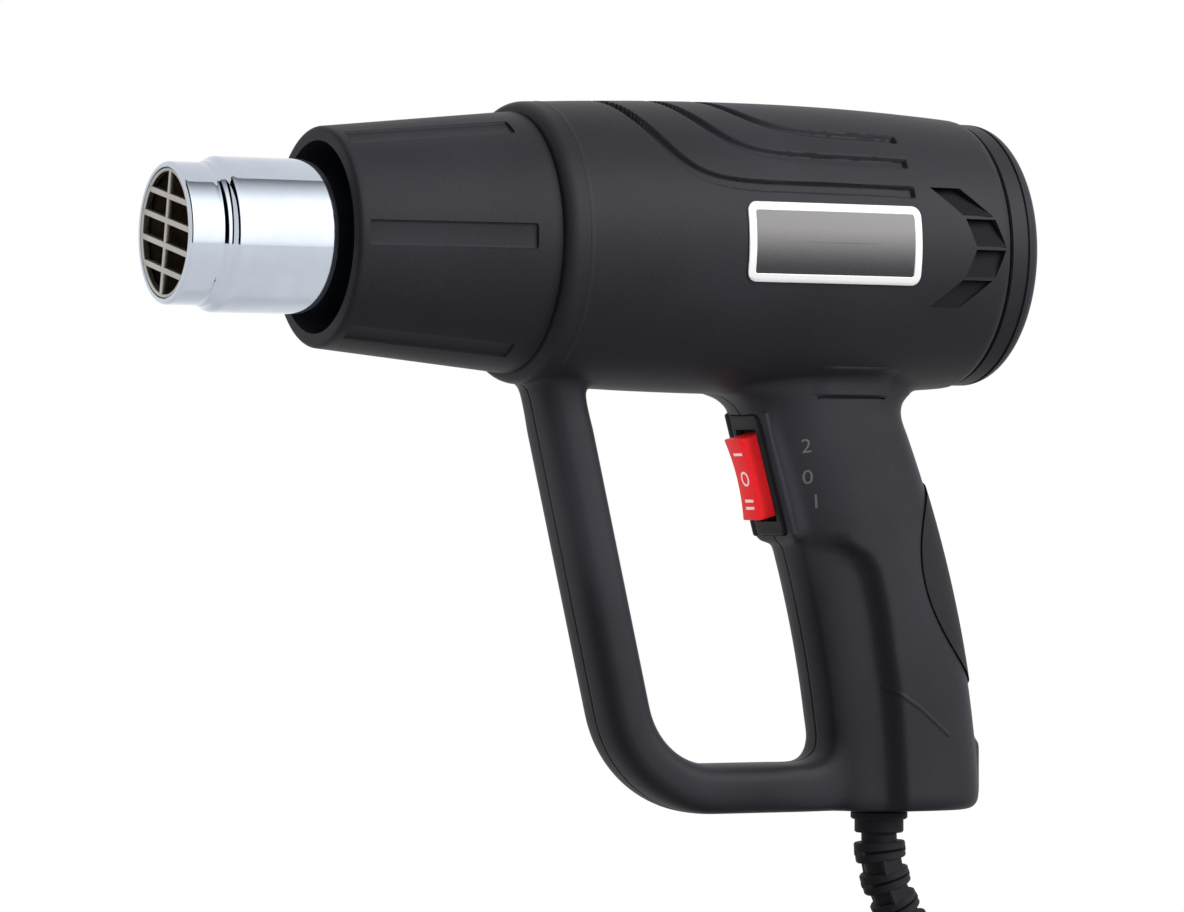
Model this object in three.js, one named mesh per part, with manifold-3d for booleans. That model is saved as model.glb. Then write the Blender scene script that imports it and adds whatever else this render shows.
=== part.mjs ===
// Corded hot air tool with a loop handle. Millimetres, +Z up.
// Working frame: x runs back from the nozzle mouth, z rises from the barrel axis, and
// y = 0 is the plane where the two housing halves part. The finished tool is then moved
// so that its origin lies in the middle of the grip.
import * as THREE from "three";
import { mergeVertices } from "three/addons/utils/BufferGeometryUtils.js";
import Module from "manifold-3d";

// Clearances
const fit = 0.3; // between pieces that seat on each other
const partingGap = 0.3; // between the housing halves
const fanTipGap = 1; // fan blades to the duct
const swingGap = 0.5; // rocker to its window

// Nozzle and outlet grille
const tipRadius = 17;
const tipLength = 9.5;
const tipStep = 2.5; // length of the swaged shoulder behind the tip
const mouthLip = 1; // how far the mouth edge is rolled in
const nozzleRadius = 18.6;
const nozzleWall = 0.8;
const nozzleReach = 39; // nozzle mouth to sleeve mouth
const nozzleFlange = 8; // how far the rear flange stands out
const grilleBar = 1.45;
const grilleRing = 1.1;
const grilleDepth = 2;
const grillePitch = 5.9;
const grilleCrossBars = 4;
const grilleTurn = 11.5; // degrees about the barrel axis

// Front sleeve
const sleeveLength = 51;
const sleeveMouthRadius = 26.6;
const sleeveRearRadius = 32;
const sleeveWall = 3.4;
const sleeveEdge = 1.2; // rounding of the mouth
const panelCount = 6;
const panelWidth = 6.3;
const panelLength = 42;
const panelDepth = 0.7;
const panelSetback = 2.5; // sleeve mouth to the panels

// Housing body
const bodyLength = 123;
const bodyRadius = 36.3;
const bodyFrontRadius = 34.3;
const bodyRearRadius = 34;
const crownSetback = 66; // front edge to the widest point
const shoulderLength = 3.4; // rounded front edge
const shoulderRise = 1.9;
const rearEdge = 0.8;
const wall = 2.6;
const lipThick = 3.5; // front and rear lips that trap the sleeve and the cap
const spigotSetback = 5.5; // rear edge of the body to the spigots of the sleeve and the cap
const spigotWall = 2.4;
const flangeStep = 2; // trapped flange beyond its spigot
const flangeThick = 2.4;
const ribThick = 2;
const ribSetback = 30; // front lip to the front duct rib
const ribSpacing = 66;

// Flank vents
const ventCount = 4;
const ventPitch = 7.6;
const ventHeight = 7;
const ventLength = 8.8;
const ventSetback = 7; // rear edge of the body to the middle of the band
const ventBow = 18; // how strongly the band curves
const ventBreak = 0.9; // how far the pocket goes past the wall

// Rear cap
const capLength = 9.5;
const capRadius = 33.2;
const capEdge = 4.5;
const capWall = 2.4;
const capSlots = 7;
const capSlotHeight = 2.6;
const capSlotPitch = 5.6;
const capGrilleRadius = 23.5;
const capMullion = 3;

// Loop handle
const handleHeight = 104.2; // body underside to handle base
const gripTopDrop = 7.7; // body underside to the top of the grip's centreline
const gripFillet = 5.4;
const gripSetback = 36; // rear edge of the body to the grip's centreline at its top
const gripBow = 19.9; // how far behind that the control point lies that bends the centreline
const gripLean = 22.1; // how far behind it the centreline ends
const gripDepth = 42.4; // front to back
const gripWidth = 32;
const gripSquareness = 2.6;
const baseEdge = 3.5;
const gripMiddleDrop = 52; // body underside to the middle of the grip
const guardThick = 12.5;
const guardWidth = 20;
const guardSquareness = 3.2;
const guardSetback = 12.3; // body front edge to the guard's centreline at the underside
const guardRake = 13; // degrees
const guardCorner = 25; // bend of the guard's centreline
const guardFillet = 4.5;
const barFillet = 7; // loop corner where the bar meets the grip
const scoopHalf = 12; // half width of the grip where fingers close round it
const scoopLead = 5.8; // grip centreline to the edge of the finger scoop
const scoopTopDrop = 36.7; // body underside to the top of the scoop
const scoopCorner = 8;
const scoopSlope = 3; // how far its step leans back

// Grooves on each flank, from the crown down and back
const grooves = [
  { angle: 68, setback: 21.5 },
  { angle: 54.5, setback: 36.1 },
  { angle: 41, setback: 48.5 },
];
const grooveWidth = 2.6;
const grooveDepth = 1;
const grooveRun = 6; // length in which it turns from round the body to along it
const grooveGap = 4.4; // their rear ends to the vents
const grooveShares = [0.02, 0.35, 0.7, 0.9, 0.98]; // of its angle, where its turn is drawn
const grooveStretches = 3; // of its straight run

// Grip pad on the back of the grip
const padTopDrop = 21.5; // body underside to the pad's upper end
const padHeight = 51;
const padWrap = 12; // how far it reaches round the sides
const padThick = 1.2;
const padProud = 0.35;

// Badge plate on the left flank
const badgeSetback = 47.5; // body front edge to the badge
const badgeGap = 3.9; // rear end of the badge to the vents
const badgeHeight = 19.6;
const badgeCorner = 2.5;
const badgeSunk = 0.8;
const badgeProud = 0.4;

// Rocker switch, in its own frame: x inwards, z up along the face
const switchRake = 15.5; // degrees
const switchLead = 17; // top of the grip's centreline to the switch
const switchDrop = 19.9; // body underside to the switch centre
const shroudLength = 36;
const shroudWidth = 22;
const shroudCorner = 3;
const bezelLength = 31;
const bezelWidth = 14;
const bezelProud = 1;
const bezelSunk = 1;
const bezelCorner = 1.5;
const caseLength = 27;
const caseWidth = 11.8;
const caseDepth = 17;
const rockerLength = 21;
const rockerWidth = 9.4;
const rockerDish = 5.5; // degrees, slope of each half of its face
const rockerRise = 3.2; // middle of its face above the bezel
const rockerPivotDepth = 3; // pivot behind the bezel's face
const rockerSkirt = 3.5; // rocker behind its pivot
const rockerSwing = 10; // degrees each way
const trunnionRadius = 1.2;
const terminalLength = 7;
const terminalWidth = 4.8;
const terminalThick = 0.8;
const terminalPitch = 8;

// Housing screws, driven from the right
const screwRadius = 1.5;
const screwHeadRadius = 2.6;
const screwHead = 2;
const screwSeat = 5; // head seat from the parting plane
const screwBite = 6; // shank past the parting plane
const bossRadius = 4;
const frontBossSetback = 22; // body front edge to the front boss
const rearBossSetback = 18; // rear edge of the body to the rear boss
const guardBossDrop = 10; // body underside to the boss in the guard
const gripBossDrop = 16;
const gripBossBack = 12; // grip centreline to its bosses
const baseBossRise = 10;

// Heater
const micaThick = 0.8;
const coreHalf = 11; // half width of the mica cross
const coreSetback = 17; // nozzle mouth to the front of the cross
const coreEar = 4; // length of the wide ends that centre the cross
const coilTurns = 8;
const coilWire = 0.8; // wire radius
const coilSetback = 8; // ends of the cross to the coil
const coilSteps = 10;
const coreTail = 3; // rear of the cross to the tube end
const linerSetback = 2; // swaged shoulder to the liner
const cutoutRadius = 3.2;
const cutoutLength = 9;

// Duct, motor and fan
const ductRadius = 25;
const ductWall = 1.6;
const funnelLength = 16;
const ductTail = 11; // rear end of the duct to the rear lip
const motorRadius = 13.9;
const motorLength = 34;
const motorWall = 1;
const cupWall = 1.6;
const vaneCount = 6;
const vaneThick = 1.6;
const magnetThick = 2;
const magnetSpan = 130; // degrees
const armatureRadius = 9.6;
const armatureLength = 18;
const armaturePoles = 5;
const commutatorRadius = 3.8;
const commutatorLength = 5;
const shaftRadius = 1.5;
const bushRadius = 4;
const bushLength = 3.4;
const endCapThick = 4;
const fanBlades = 9;
const fanHubRadius = 9;
const fanHubLength = 11;
const fanPitch = 35; // degrees
const fanSetback = 2; // fan to the duct end and to the motor cup
const screwHeadGap = 1; // extra room for the motor screws
const shaftNose = 1;
const cupSetback = 6; // open end of the motor to its cup
const armatureSetback = 8;
const magnetOverhang = 4;
const poleGap = 1.2;
const poleRoot = 0.55; // share of the armature radius below its slots
const leadHoleBack = 14.3; // motor end cap to the first lead hole
const leadHoleStep = 8;
const bladeThick = 1.4;
const motorScrewRadius = 1.1;
const motorScrewCircle = 8;
const boardRadius = 11.5;
const boardThick = 1.6;
const diodeLength = 6;
const diodeThick = 2.6;
const diodePitch = 3.64;

// Cord, strain relief and what holds them
const cordRadius = 3.5;
const cordLead = 4.6; // lower end of the grip's centreline to the cord
const reliefFlangeRadius = 7.2;
const reliefFlange = 2;
const reliefCollarRadius = 6.2;
const reliefCollar = 3.4;
const reliefNeckRadius = 4.5;
const reliefRibRadius = 6.5;
const reliefTaper = 1.2; // how much thinner the last rib is
const reliefRibs = 11;
const reliefRib = 2;
const reliefGap = 1.7;
const reliefBend = 38; // bend radius of its centreline
const innerCordLength = 26;
const clampLength = 22;
const clampHeight = 7;
const clampThick = 3.4;
const clampRise = 16; // handle base to the clamp
const clampScrewPitch = 15.4;
const clampScrewRadius = 1.2;
const clampPostRadius = 2.6;
const clampScrewBite = 5;
const capacitorSize = { x: 11, y: 9, z: 22 };
const capacitorRise = 46; // handle base to its middle
const capacitorBack = 8; // behind the grip centreline
const leadRadius = 1.1;

// Lead routes by hand. In the grip: behind its centreline, y, below the body underside.
// Under the duct: share of the way to the lead's hole, y.
const liveInGrip = [[6.3, -1, 29.7], [2.1, -1.5, 43.7], [-1.6, -1.5, 58.7]];
const neutralInGrip = [[-1.6, 4, 60.7], [0.6, 7.5, 43.7], [2.3, 9, 19.7], [2.4, 8, -0.3]];
const neutralUnderDuct = [[0.3, 6], [0.65, 3.5], [0.875, 1]];
const heaterInGrip = [[11.8, -3, -3.3]];
const heaterUnderDuct = [[0.14, -7], [0.43, -6.5], [0.79, -4.5]];
const leadClear = 4; // duct to the leads under it
const leadRise = 11; // how far they rise into the duct before they turn
const boardTap = 9.6; // barrel axis to where leads meet the board
const coreTap = 5.5; // and the heater
const boardReach = 4; // bend ahead of the board
const coreReach = [14, 4]; // bends behind the heater

// Cord coil put away under the handle, its tie and the plug
const coilPitch = 7.5; // from one turn of cord to the next, and between layers
const coilInner = 33.2; // centreline of the innermost turn
const coilLayers = 4;
const coilLoops = 5;
const coilHeading = 75; // degrees, the way the cord enters the coil
const coilTailHeading = 270;
const dropSteps = [
  [15.53, 1, -8.9], // from the strain relief's tip
  [25.03, 6.8, -14.4],
  [31.43, 22, -16.3],
];
const tailLength = 18;
const loopSteps = 20;
const tieWidth = 9;
const tieThick = 1.2;
const tieAngle = 5; // degrees round the coil
const plugLength = 33;
const plugWidth = 25;
const plugThick = 18;
const plugNeck = 5;
const pinPitch = 12.7;
const pinWidth = 6.3;
const pinThick = 1.5;
const pinLength = 17;

// Facets
const roundSteps = 32;
const motorSteps = 20;
const smallSteps = 12;
const screwSteps = 10;
const gripSides = 18;
const guardSides = 12;
const hollowSides = 10; // inside the handle
const reliefSides = 10;
const cordSides = 10;
const coilSides = 6;
const wireSides = 5;

const wasm = await Module();
wasm.setup();

const up = new THREE.Vector3(0, 0, 1);
const across = new THREE.Vector3(0, 1, 0);
const radians = THREE.MathUtils.degToRad;

// Stations along the barrel and heights of the handle
const sleeveX = nozzleReach;
const bodyX = sleeveX + sleeveLength;
const capX = bodyX + bodyLength;
const rearX = capX + capLength;
const frontLipX = bodyX + lipThick;
const rearLipX = capX - lipThick;
const sleeveEndX = frontLipX + fit + flangeThick;
const nozzleEndX = sleeveEndX + fit + nozzleWall;
const ductX = nozzleEndX + fit;
const ductEndX = rearLipX - ductTail;
const underside = -bodyRadius;
const gripTopZ = underside - gripTopDrop;
const baseZ = underside - handleHeight;
const spigotRadius = bodyRearRadius - spigotSetback;
const lipRadius = spigotRadius + fit;
const bore = nozzleRadius - nozzleWall;
const gripTopX = capX - gripSetback;
const gripBowX = gripTopX + gripBow;
const gripBaseX = gripTopX + gripLean;
const cordX = gripBaseX - cordLead;
const guardTopX = bodyX + guardSetback;
const switchX = gripTopX - switchLead;
const ventApex = capX - ventSetback;
const ventHalf = ((ventCount - 1) * ventPitch) / 2; // flank's middle to the outer vents
const ventFrontX = ventApex - (ventHalf * (ventHalf + ventHeight)) / ventBow - ventLength / 2;
const badgeLength = ventFrontX - badgeGap - bodyX - badgeSetback;

// A closed solid with its faces outwards, from any closed geometry.
function solid(geometry) {
  const bare = new THREE.BufferGeometry();
  const loose = geometry.index ? geometry.toNonIndexed() : geometry;
  bare.setAttribute("position", loose.getAttribute("position"));
  const merged = mergeVertices(bare, 1e-4);
  const corners = merged.index.array;
  const kept = [];
  for (let i = 0; i < corners.length; i += 3) {
    const [a, b, c] = corners.slice(i, i + 3);
    if (a !== b && b !== c && c !== a) kept.push(a, b, c);
  }
  const vertProperties = Float32Array.from(merged.getAttribute("position").array);
  const closed = (order) =>
    new wasm.Manifold(new wasm.Mesh({ numProp: 3, vertProperties, triVerts: Uint32Array.from(order) }));
  const made = closed(kept);
  return made.volume() < 0 ? closed(kept.reverse()) : made;
}

const union = (...solids) => solids.reduce((whole, next) => whole.add(next));

// An outline of [x, radius] points turned about the barrel axis.
function revolve(outline, steps = roundSteps) {
  const points = outline.map(([x, radius]) => new THREE.Vector2(radius, x));
  const onAxis = outline[0][1] === 0 && outline.at(-1)[1] === 0;
  if (!onAxis) points.push(points[0].clone());
  return solid(new THREE.LatheGeometry(points, steps).rotateZ(-Math.PI / 2));
}

const tubeAlongX = (x0, x1, inner, outer, steps) =>
  revolve([[x0, inner], [x1, inner], [x1, outer], [x0, outer]], steps);

const rodAlongX = (x0, x1, radius, steps) =>
  revolve([[x0, 0], [x0, radius], [x1, radius], [x1, 0]], steps);

function rodAcross(x, z, radius, y0, y1, steps = smallSteps) {
  const rod = new THREE.CylinderGeometry(radius, radius, y1 - y0, steps);
  return solid(rod.translate(x, (y0 + y1) / 2, z));
}

function box(x0, x1, y0, y1, z0, z1) {
  const block = new THREE.BoxGeometry(x1 - x0, y1 - y0, z1 - z0);
  return solid(block.translate((x0 + x1) / 2, (y0 + y1) / 2, (z0 + z1) / 2));
}

function rodUpright(x, radius, z0, z1) {
  const rod = new THREE.CylinderGeometry(radius, radius, z1 - z0, smallSteps);
  return solid(rod.rotateX(Math.PI / 2).translate(x, 0, (z0 + z1) / 2));
}

// An outline in x and z, extruded across the tool from y0 to y1.
function acrossGeometry(shape, y0, y1) {
  const slab = new THREE.ExtrudeGeometry(shape, { depth: y1 - y0, bevelEnabled: false, curveSegments: 6 });
  return slab.rotateX(Math.PI / 2).translate(0, y1, 0);
}

const extrudeAcross = (shape, y0, y1) => solid(acrossGeometry(shape, y0, y1));

// An outline in y and z, extruded along the barrel from x0 to x1.
const alongTurn = new THREE.Matrix4().makeBasis(across, up, new THREE.Vector3(1, 0, 0));

function alongGeometry(shape, x0, x1) {
  const slab = new THREE.ExtrudeGeometry(shape, { depth: x1 - x0, bevelEnabled: false, curveSegments: 6 });
  return slab.applyMatrix4(alongTurn).translate(x0, 0, 0);
}

function roundedRectangle(width, height, corner) {
  const [w, h] = [width / 2, height / 2];
  const shape = new THREE.Shape();
  shape.moveTo(-w + corner, -h);
  shape.absarc(w - corner, -h + corner, corner, -Math.PI / 2, 0);
  shape.absarc(w - corner, h - corner, corner, 0, Math.PI / 2);
  shape.absarc(-w + corner, h - corner, corner, Math.PI / 2, Math.PI);
  shape.absarc(-w + corner, -h + corner, corner, Math.PI, Math.PI * 1.5);
  return shape;
}

// A closed solid through sections of equal point counts.
function loft(sections) {
  const count = sections[0].length;
  const index = [];
  for (let s = 0; s + 1 < sections.length; s++) {
    for (let i = 0; i < count; i++) {
      const a = s * count + i;
      const b = s * count + ((i + 1) % count);
      index.push(a, b, b + count, a, b + count, a + count);
    }
  }
  const last = (sections.length - 1) * count;
  for (let i = 1; i + 1 < count; i++) {
    index.push(0, i + 1, i, last, last + i, last + i + 1);
  }
  const geometry = new THREE.BufferGeometry().setFromPoints(sections.flat());
  geometry.setIndex(index);
  return solid(geometry);
}

// A rounded section about a centre: `thick` along `normal`, `width` across the tool.
function roundSection(centre, normal, thick, width, squareness, count) {
  const bulge = (value) => Math.sign(value) * Math.abs(value) ** (2 / squareness);
  return Array.from({ length: count }, (_, i) => {
    const angle = (2 * Math.PI * (i + 0.5)) / count;
    return centre
      .clone()
      .addScaledVector(normal, (bulge(Math.cos(angle)) * thick) / 2)
      .addScaledVector(across, (bulge(Math.sin(angle)) * width) / 2);
  });
}

// A round tube along points, with its frame carried from ring to ring. Its end faces look
// along the given ways, or along the route where none is given.
function tube(points, radius, sides, firstWay = null, lastWay = null) {
  let side = null;
  const final = points.length - 1;
  const rings = points.map((point, i) => {
    const before = points[Math.max(i - 1, 0)];
    const after = points[Math.min(i + 1, final)];
    const way = (i === 0 && firstWay) || (i === final && lastWay) || after.clone().sub(before);
    const tangent = way.clone().normalize();
    side ??= Math.abs(tangent.y) < 0.9 ? across.clone() : up.clone();
    side.addScaledVector(tangent, -side.dot(tangent)).normalize();
    const other = tangent.clone().cross(side);
    return Array.from({ length: sides }, (_, k) => {
      const angle = (2 * Math.PI * k) / sides;
      return point
        .clone()
        .addScaledVector(side, Math.cos(angle) * radius)
        .addScaledVector(other, Math.sin(angle) * radius);
    });
  });
  return loft(rings);
}

// Fillet: extra width at a distance from the surface that it runs into.
function fillet(radius, distance) {
  const d = THREE.MathUtils.clamp(distance, 0, radius);
  return radius - Math.sqrt(radius ** 2 - (radius - d) ** 2);
}

const part = new THREE.Group();
const tool = new THREE.Group();
part.add(tool);

const finish = (color, roughness, metalness = 0) =>
  new THREE.MeshStandardMaterial({ color, roughness, metalness });
const housingFinish = () => finish(0x2a2a2e, 0.42);
const chromeFinish = () => finish(0xd8d9dc, 0.08, 1);
const steelFinish = () => finish(0x9a9a9c, 0.35, 1);
const micaFinish = () => finish(0xb9a478, 0.6);
const mouldedFinish = () => finish(0x1b1b1d, 0.55);
const rubberFinish = () => finish(0x17171a, 0.7);
const copperFinish = () => finish(0xb87346, 0.35, 1);
const brassFinish = () => finish(0xc2a14d, 0.3, 1);

function piece(name, made, material, parent = tool) {
  const { vertProperties, triVerts } = made.getMesh();
  const geometry = new THREE.BufferGeometry();
  geometry.setAttribute("position", new THREE.BufferAttribute(vertProperties, 3));
  geometry.setIndex(new THREE.BufferAttribute(triVerts, 1));
  geometry.computeVertexNormals();
  const mesh = new THREE.Mesh(geometry, material);
  mesh.name = name;
  parent.add(mesh);
}

// Body: a crowned barrel
function bodyRadiusAt(x) {
  const fromCrown = x - bodyX - crownSetback;
  const ahead = fromCrown < 0;
  const span = ahead ? crownSetback : bodyLength - crownSetback;
  const end = ahead ? bodyFrontRadius : bodyRearRadius;
  return bodyRadius - (bodyRadius - end) * (fromCrown / span) ** 2;
}

const crownStations = (x0, x1, count) =>
  Array.from({ length: count + 1 }, (_, i) => x0 + ((x1 - x0) * i) / count);

function bodySolid() {
  const shoulder = [0, 30, 60, 90].map((angle) => [
    bodyX + shoulderLength * (1 - Math.cos(radians(angle))),
    bodyRadiusAt(bodyX + shoulderLength) - shoulderRise * (1 - Math.sin(radians(angle))),
  ]);
  const crown = crownStations(bodyX + shoulderLength, capX - rearEdge, 6).slice(1);
  return revolve([
    [bodyX, 0],
    ...shoulder,
    ...crown.map((x) => [x, bodyRadiusAt(x)]),
    [capX, bodyRearRadius - rearEdge],
    [capX, 0],
  ]);
}

function bodyHollow() {
  const inside = crownStations(frontLipX, rearLipX, 3).map((x) => [x, bodyRadiusAt(x) - wall]);
  const room = revolve([[frontLipX, 0], ...inside, [rearLipX, 0]]);
  return room.add(rodAlongX(bodyX - 1, capX + 1, lipRadius));
}

// A band of the body's skin, between two offsets from its surface.
function bodySkin(x0, x1, inner, outer) {
  const stations = crownStations(x0, x1, 4);
  return revolve([
    ...stations.map((x) => [x, bodyRadiusAt(x) + outer]),
    ...stations.toReversed().map((x) => [x, bodyRadiusAt(x) + inner]),
  ]);
}

// Grip: level sections along a bowed centreline
function gripCentre(z) {
  const t = (gripTopZ - z) / (gripTopZ - baseZ);
  return (1 - t) ** 2 * gripTopX + 2 * t * (1 - t) * gripBowX + t ** 2 * gripBaseX;
}

function gripSection(z, inset, flare, sides) {
  const centre = new THREE.Vector3(gripCentre(z), 0, z);
  const depth = gripDepth + 2 * (flare - inset);
  const width = gripWidth + 2 * (flare / 3 - inset);
  return roundSection(centre, new THREE.Vector3(1, 0, 0), depth, width, gripSquareness, sides);
}

function gripSolid(inset) {
  const sides = inset > 0 ? hollowSides : gripSides;
  const bottom = baseZ + Math.max(inset, 0);
  const fillets = [-1, 0, 0.2, 0.55].map((share) => {
    const drop = share * gripFillet;
    return gripSection(underside - drop, inset, fillet(gripFillet, drop), sides);
  });
  const heights = crownStations(gripTopZ, bottom + baseEdge, 6);
  const shank = heights.map((z) => gripSection(z, inset, 0, sides));
  const foot = [45, 90].map((angle) => {
    const shrink = baseEdge * (1 - Math.cos(radians(angle)));
    const z = bottom + baseEdge * (1 - Math.sin(radians(angle)));
    return gripSection(z, inset + shrink, 0, sides);
  });
  return loft([...fillets, ...shank, ...foot]);
}

// Finger scoop: what is cut from one side of the grip, `half` from the parting plane
function scoopCut(side, half, back) {
  const [front, top, bottom] = [gripTopX - gripDepth, underside - scoopTopDrop + back, baseZ - 1];
  const edge = (z) => gripCentre(z) - scoopLead + back;
  const corner = new THREE.QuadraticBezierCurve(
    new THREE.Vector2(edge(top) - scoopCorner, top),
    new THREE.Vector2(edge(top), top),
    new THREE.Vector2(edge(top - scoopCorner), top - scoopCorner),
  ).getPoints(4);
  const heights = crownStations(top - scoopCorner, bottom, 4).slice(1);
  const outline = [
    [front, bottom], [front, top], ...corner.map(({ x, y }) => [x, y]), ...heights.map((z) => [edge(z), z]),
  ];
  const level = (lean, y) =>
    outline.map(([x, z]) => new THREE.Vector3(x > front ? x + lean : x, side * y, z));
  return loft([level(0, half), level(scoopSlope, gripWidth / 2 + 1)]);
}

const scoops = (half, back) => [-1, 1].map((side) => scoopCut(side, half, back));

// Groove: runs down from the crown and turns back along the flank
function grooveCut(side, { angle, setback }) {
  const start = bodyX + setback;
  const route = grooveShares.map((share) => [start - grooveRun * Math.log(1 - share), share * angle]);
  const straightX = route.at(-1)[0];
  for (let i = 1; i <= grooveStretches; i++) {
    const share = i / grooveStretches;
    route.push([straightX + (ventFrontX - grooveGap - straightX) * share, angle]);
  }
  const flat = route.map(([x, turn]) => new THREE.Vector2(x, radians(turn) * bodyRadiusAt(x)));
  return loft(flat.map((at, i) => {
    const way = flat[Math.min(i + 1, flat.length - 1)].clone().sub(flat[Math.max(i - 1, 0)]).normalize();
    const beside = new THREE.Vector2(-way.y, way.x).multiplyScalar(grooveWidth / 2);
    const corner = (hand, lift) => {
      const spot = at.clone().addScaledVector(beside, hand);
      const [radius, turn] = [bodyRadiusAt(spot.x) + lift, spot.y / bodyRadiusAt(spot.x)];
      return new THREE.Vector3(spot.x, side * radius * Math.sin(turn), radius * Math.cos(turn));
    };
    return [corner(-1, -grooveDepth), corner(1, -grooveDepth), corner(1, 1), corner(-1, 1)];
  }));
}

// Guard: a strap that leans down from the body, turns and runs back into the grip
const barZ = baseZ + guardThick / 2;
const guardX = (z) => guardTopX + (underside - z) * Math.tan(radians(guardRake));
const bendZ = barZ + guardCorner * (1 - Math.sin(radians(guardRake)));
const guardStartZ = underside + 2 * guardFillet;

function guardPath() {
  const lean = radians(guardRake);
  const centreX = guardX(bendZ) + guardCorner * Math.cos(lean);
  const path = new THREE.Path();
  path.moveTo(guardX(guardStartZ), guardStartZ);
  path.lineTo(guardX(bendZ), bendZ);
  path.absarc(centreX, barZ + guardCorner, guardCorner, Math.PI + lean, Math.PI * 1.5);
  path.lineTo(gripCentre(barZ), barZ);
  return path;
}

function guardSolid(inset) {
  const path = guardPath();
  const length = path.getLength();
  const legLength = (guardStartZ - bendZ) / Math.cos(radians(guardRake));
  const toBody = (guardStartZ - underside) / Math.cos(radians(guardRake));
  const bend = guardCorner * (Math.PI / 2 - radians(guardRake));
  const gripFace = gripDepth / 2;
  const sides = inset > 0 ? hollowSides : guardSides;
  const rootSteps = [0, 0.2, 0.5, 1].map((share) => toBody + share * guardFillet);
  const bendSteps = crownStations(legLength, legLength + bend, 6);
  const barSteps = [1, 0.5, 0.2, 0].map((share) => length - gripFace - share * barFillet);
  const sections = [0, ...rootSteps, ...bendSteps, ...barSteps, length].map((s) => {
    const { x, y: z } = path.getPointAt(s / length);
    const way = path.getTangentAt(s / length);
    const inwards = new THREE.Vector3(-way.y, 0, way.x);
    const root = fillet(guardFillet, s - toBody);
    const heel = fillet(barFillet, length - gripFace - s);
    const centre = new THREE.Vector3(x, 0, z).addScaledVector(inwards, (root + heel) / 2);
    const thick = guardThick - 2 * inset + root + heel;
    const width = guardWidth - 2 * inset + root;
    return roundSection(centre, inwards, thick, width, guardSquareness, sides);
  });
  return loft(sections);
}

// Rocker switch, on the raked front of the grip
const switchPlace = new THREE.Matrix4()
  .makeRotationY(-radians(switchRake))
  .setPosition(switchX, 0, underside - switchDrop);
const pivotX = rockerPivotDepth - bezelProud;
const swing = radians(rockerSwing);
const windowLength =
  2 * ((rockerLength / 2) * Math.cos(swing) + swingGap) +
  2 * (rockerPivotDepth + (rockerLength / 2) * Math.sin(swing)) * Math.tan(swing);
const windowWidth = rockerWidth + 2 * swingGap;
const skirtHalf = rockerLength / 3.5;
const pocketX = pivotX + rockerSkirt * Math.cos(swing) + skirtHalf * Math.sin(swing) + swingGap;

function switchBlock(length, width, corner, x0, x1) {
  const outline = roundedRectangle(width, length, corner);
  return alongGeometry(outline, x0, x1);
}

const onGrip = (geometry) => solid(geometry.applyMatrix4(switchPlace));
const shroudDepth = gripDepth / 2;

function switchPieces() {
  const group = new THREE.Group();
  group.applyMatrix4(switchPlace);
  tool.add(group);
  const bezel = solid(switchBlock(bezelLength, bezelWidth, bezelCorner, -bezelProud, bezelSunk));
  const body = solid(switchBlock(caseLength, caseWidth, bezelCorner, bezelSunk / 2, caseDepth));
  const pocket = box(
    -2 * bezelProud, pocketX, -windowWidth / 2, windowWidth / 2, -windowLength / 2, windowLength / 2,
  );
  const pivotHole = rodAcross(pivotX, 0, trunnionRadius + fit, -caseWidth, caseWidth);
  piece("switch_case", bezel.add(body).subtract(pocket).subtract(pivotHole), mouldedFinish(), group);

  const half = rockerLength / 2;
  const faceX = -bezelProud - rockerRise;
  const tipX = faceX - half * Math.tan(radians(rockerDish));
  const side = new THREE.Shape();
  side.moveTo(tipX, half);
  side.quadraticCurveTo(2 * faceX - tipX, 0, tipX, -half);
  side.lineTo(pivotX, -half);
  side.lineTo(pivotX + rockerSkirt, -skirtHalf);
  side.lineTo(pivotX + rockerSkirt, skirtHalf);
  side.lineTo(pivotX, half);
  const paddle = extrudeAcross(side, -rockerWidth / 2, rockerWidth / 2);
  const reach = windowWidth / 2 + (caseWidth - windowWidth) / 3;
  const trunnion = rodAcross(pivotX, 0, trunnionRadius, -reach, reach, screwSteps);
  piece("switch_rocker", paddle.add(trunnion), finish(0xe8262c, 0.35), group);

  [-1, 0, 1].forEach((place, i) => {
    const x0 = caseDepth + fit;
    const z = place * terminalPitch;
    const [w, t] = [terminalWidth / 2, terminalThick / 2];
    const blade = box(x0, x0 + terminalLength, -w, w, z - t, z + t);
    piece(`switch_terminal_${i + 1}`, blade, brassFinish(), group);
  });
}

// Grip pad: the skin of the grip's back inside a lens drawn from the side
function padLens(grow) {
  const top = underside - padTopDrop + grow;
  const bottom = top - padHeight - 2 * grow;
  const back = (z) => gripCentre(z) + gripDepth / 2;
  const middle = (top + bottom) / 2;
  const lens = new THREE.Shape();
  lens.moveTo(back(top) + padWrap, top);
  lens.lineTo(back(top), top);
  lens.quadraticCurveTo(back(middle) - 2 * padWrap - grow, middle, back(bottom), bottom);
  lens.lineTo(back(bottom) + padWrap, bottom);
  return extrudeAcross(lens, -gripWidth, gripWidth);
}

// Badge: the skin of the left flank inside a rounded rectangle
function badgeOutline(grow, inner, outer) {
  const outline = roundedRectangle(badgeLength + 2 * grow, badgeHeight + 2 * grow, badgeCorner + grow);
  const middle = bodyX + badgeSetback + badgeLength / 2;
  const prism = solid(acrossGeometry(outline, -2 * bodyRadius, 0).translate(middle, 0, 0));
  return prism.intersect(bodySkin(middle - badgeLength, middle + badgeLength, inner, outer));
}

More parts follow.
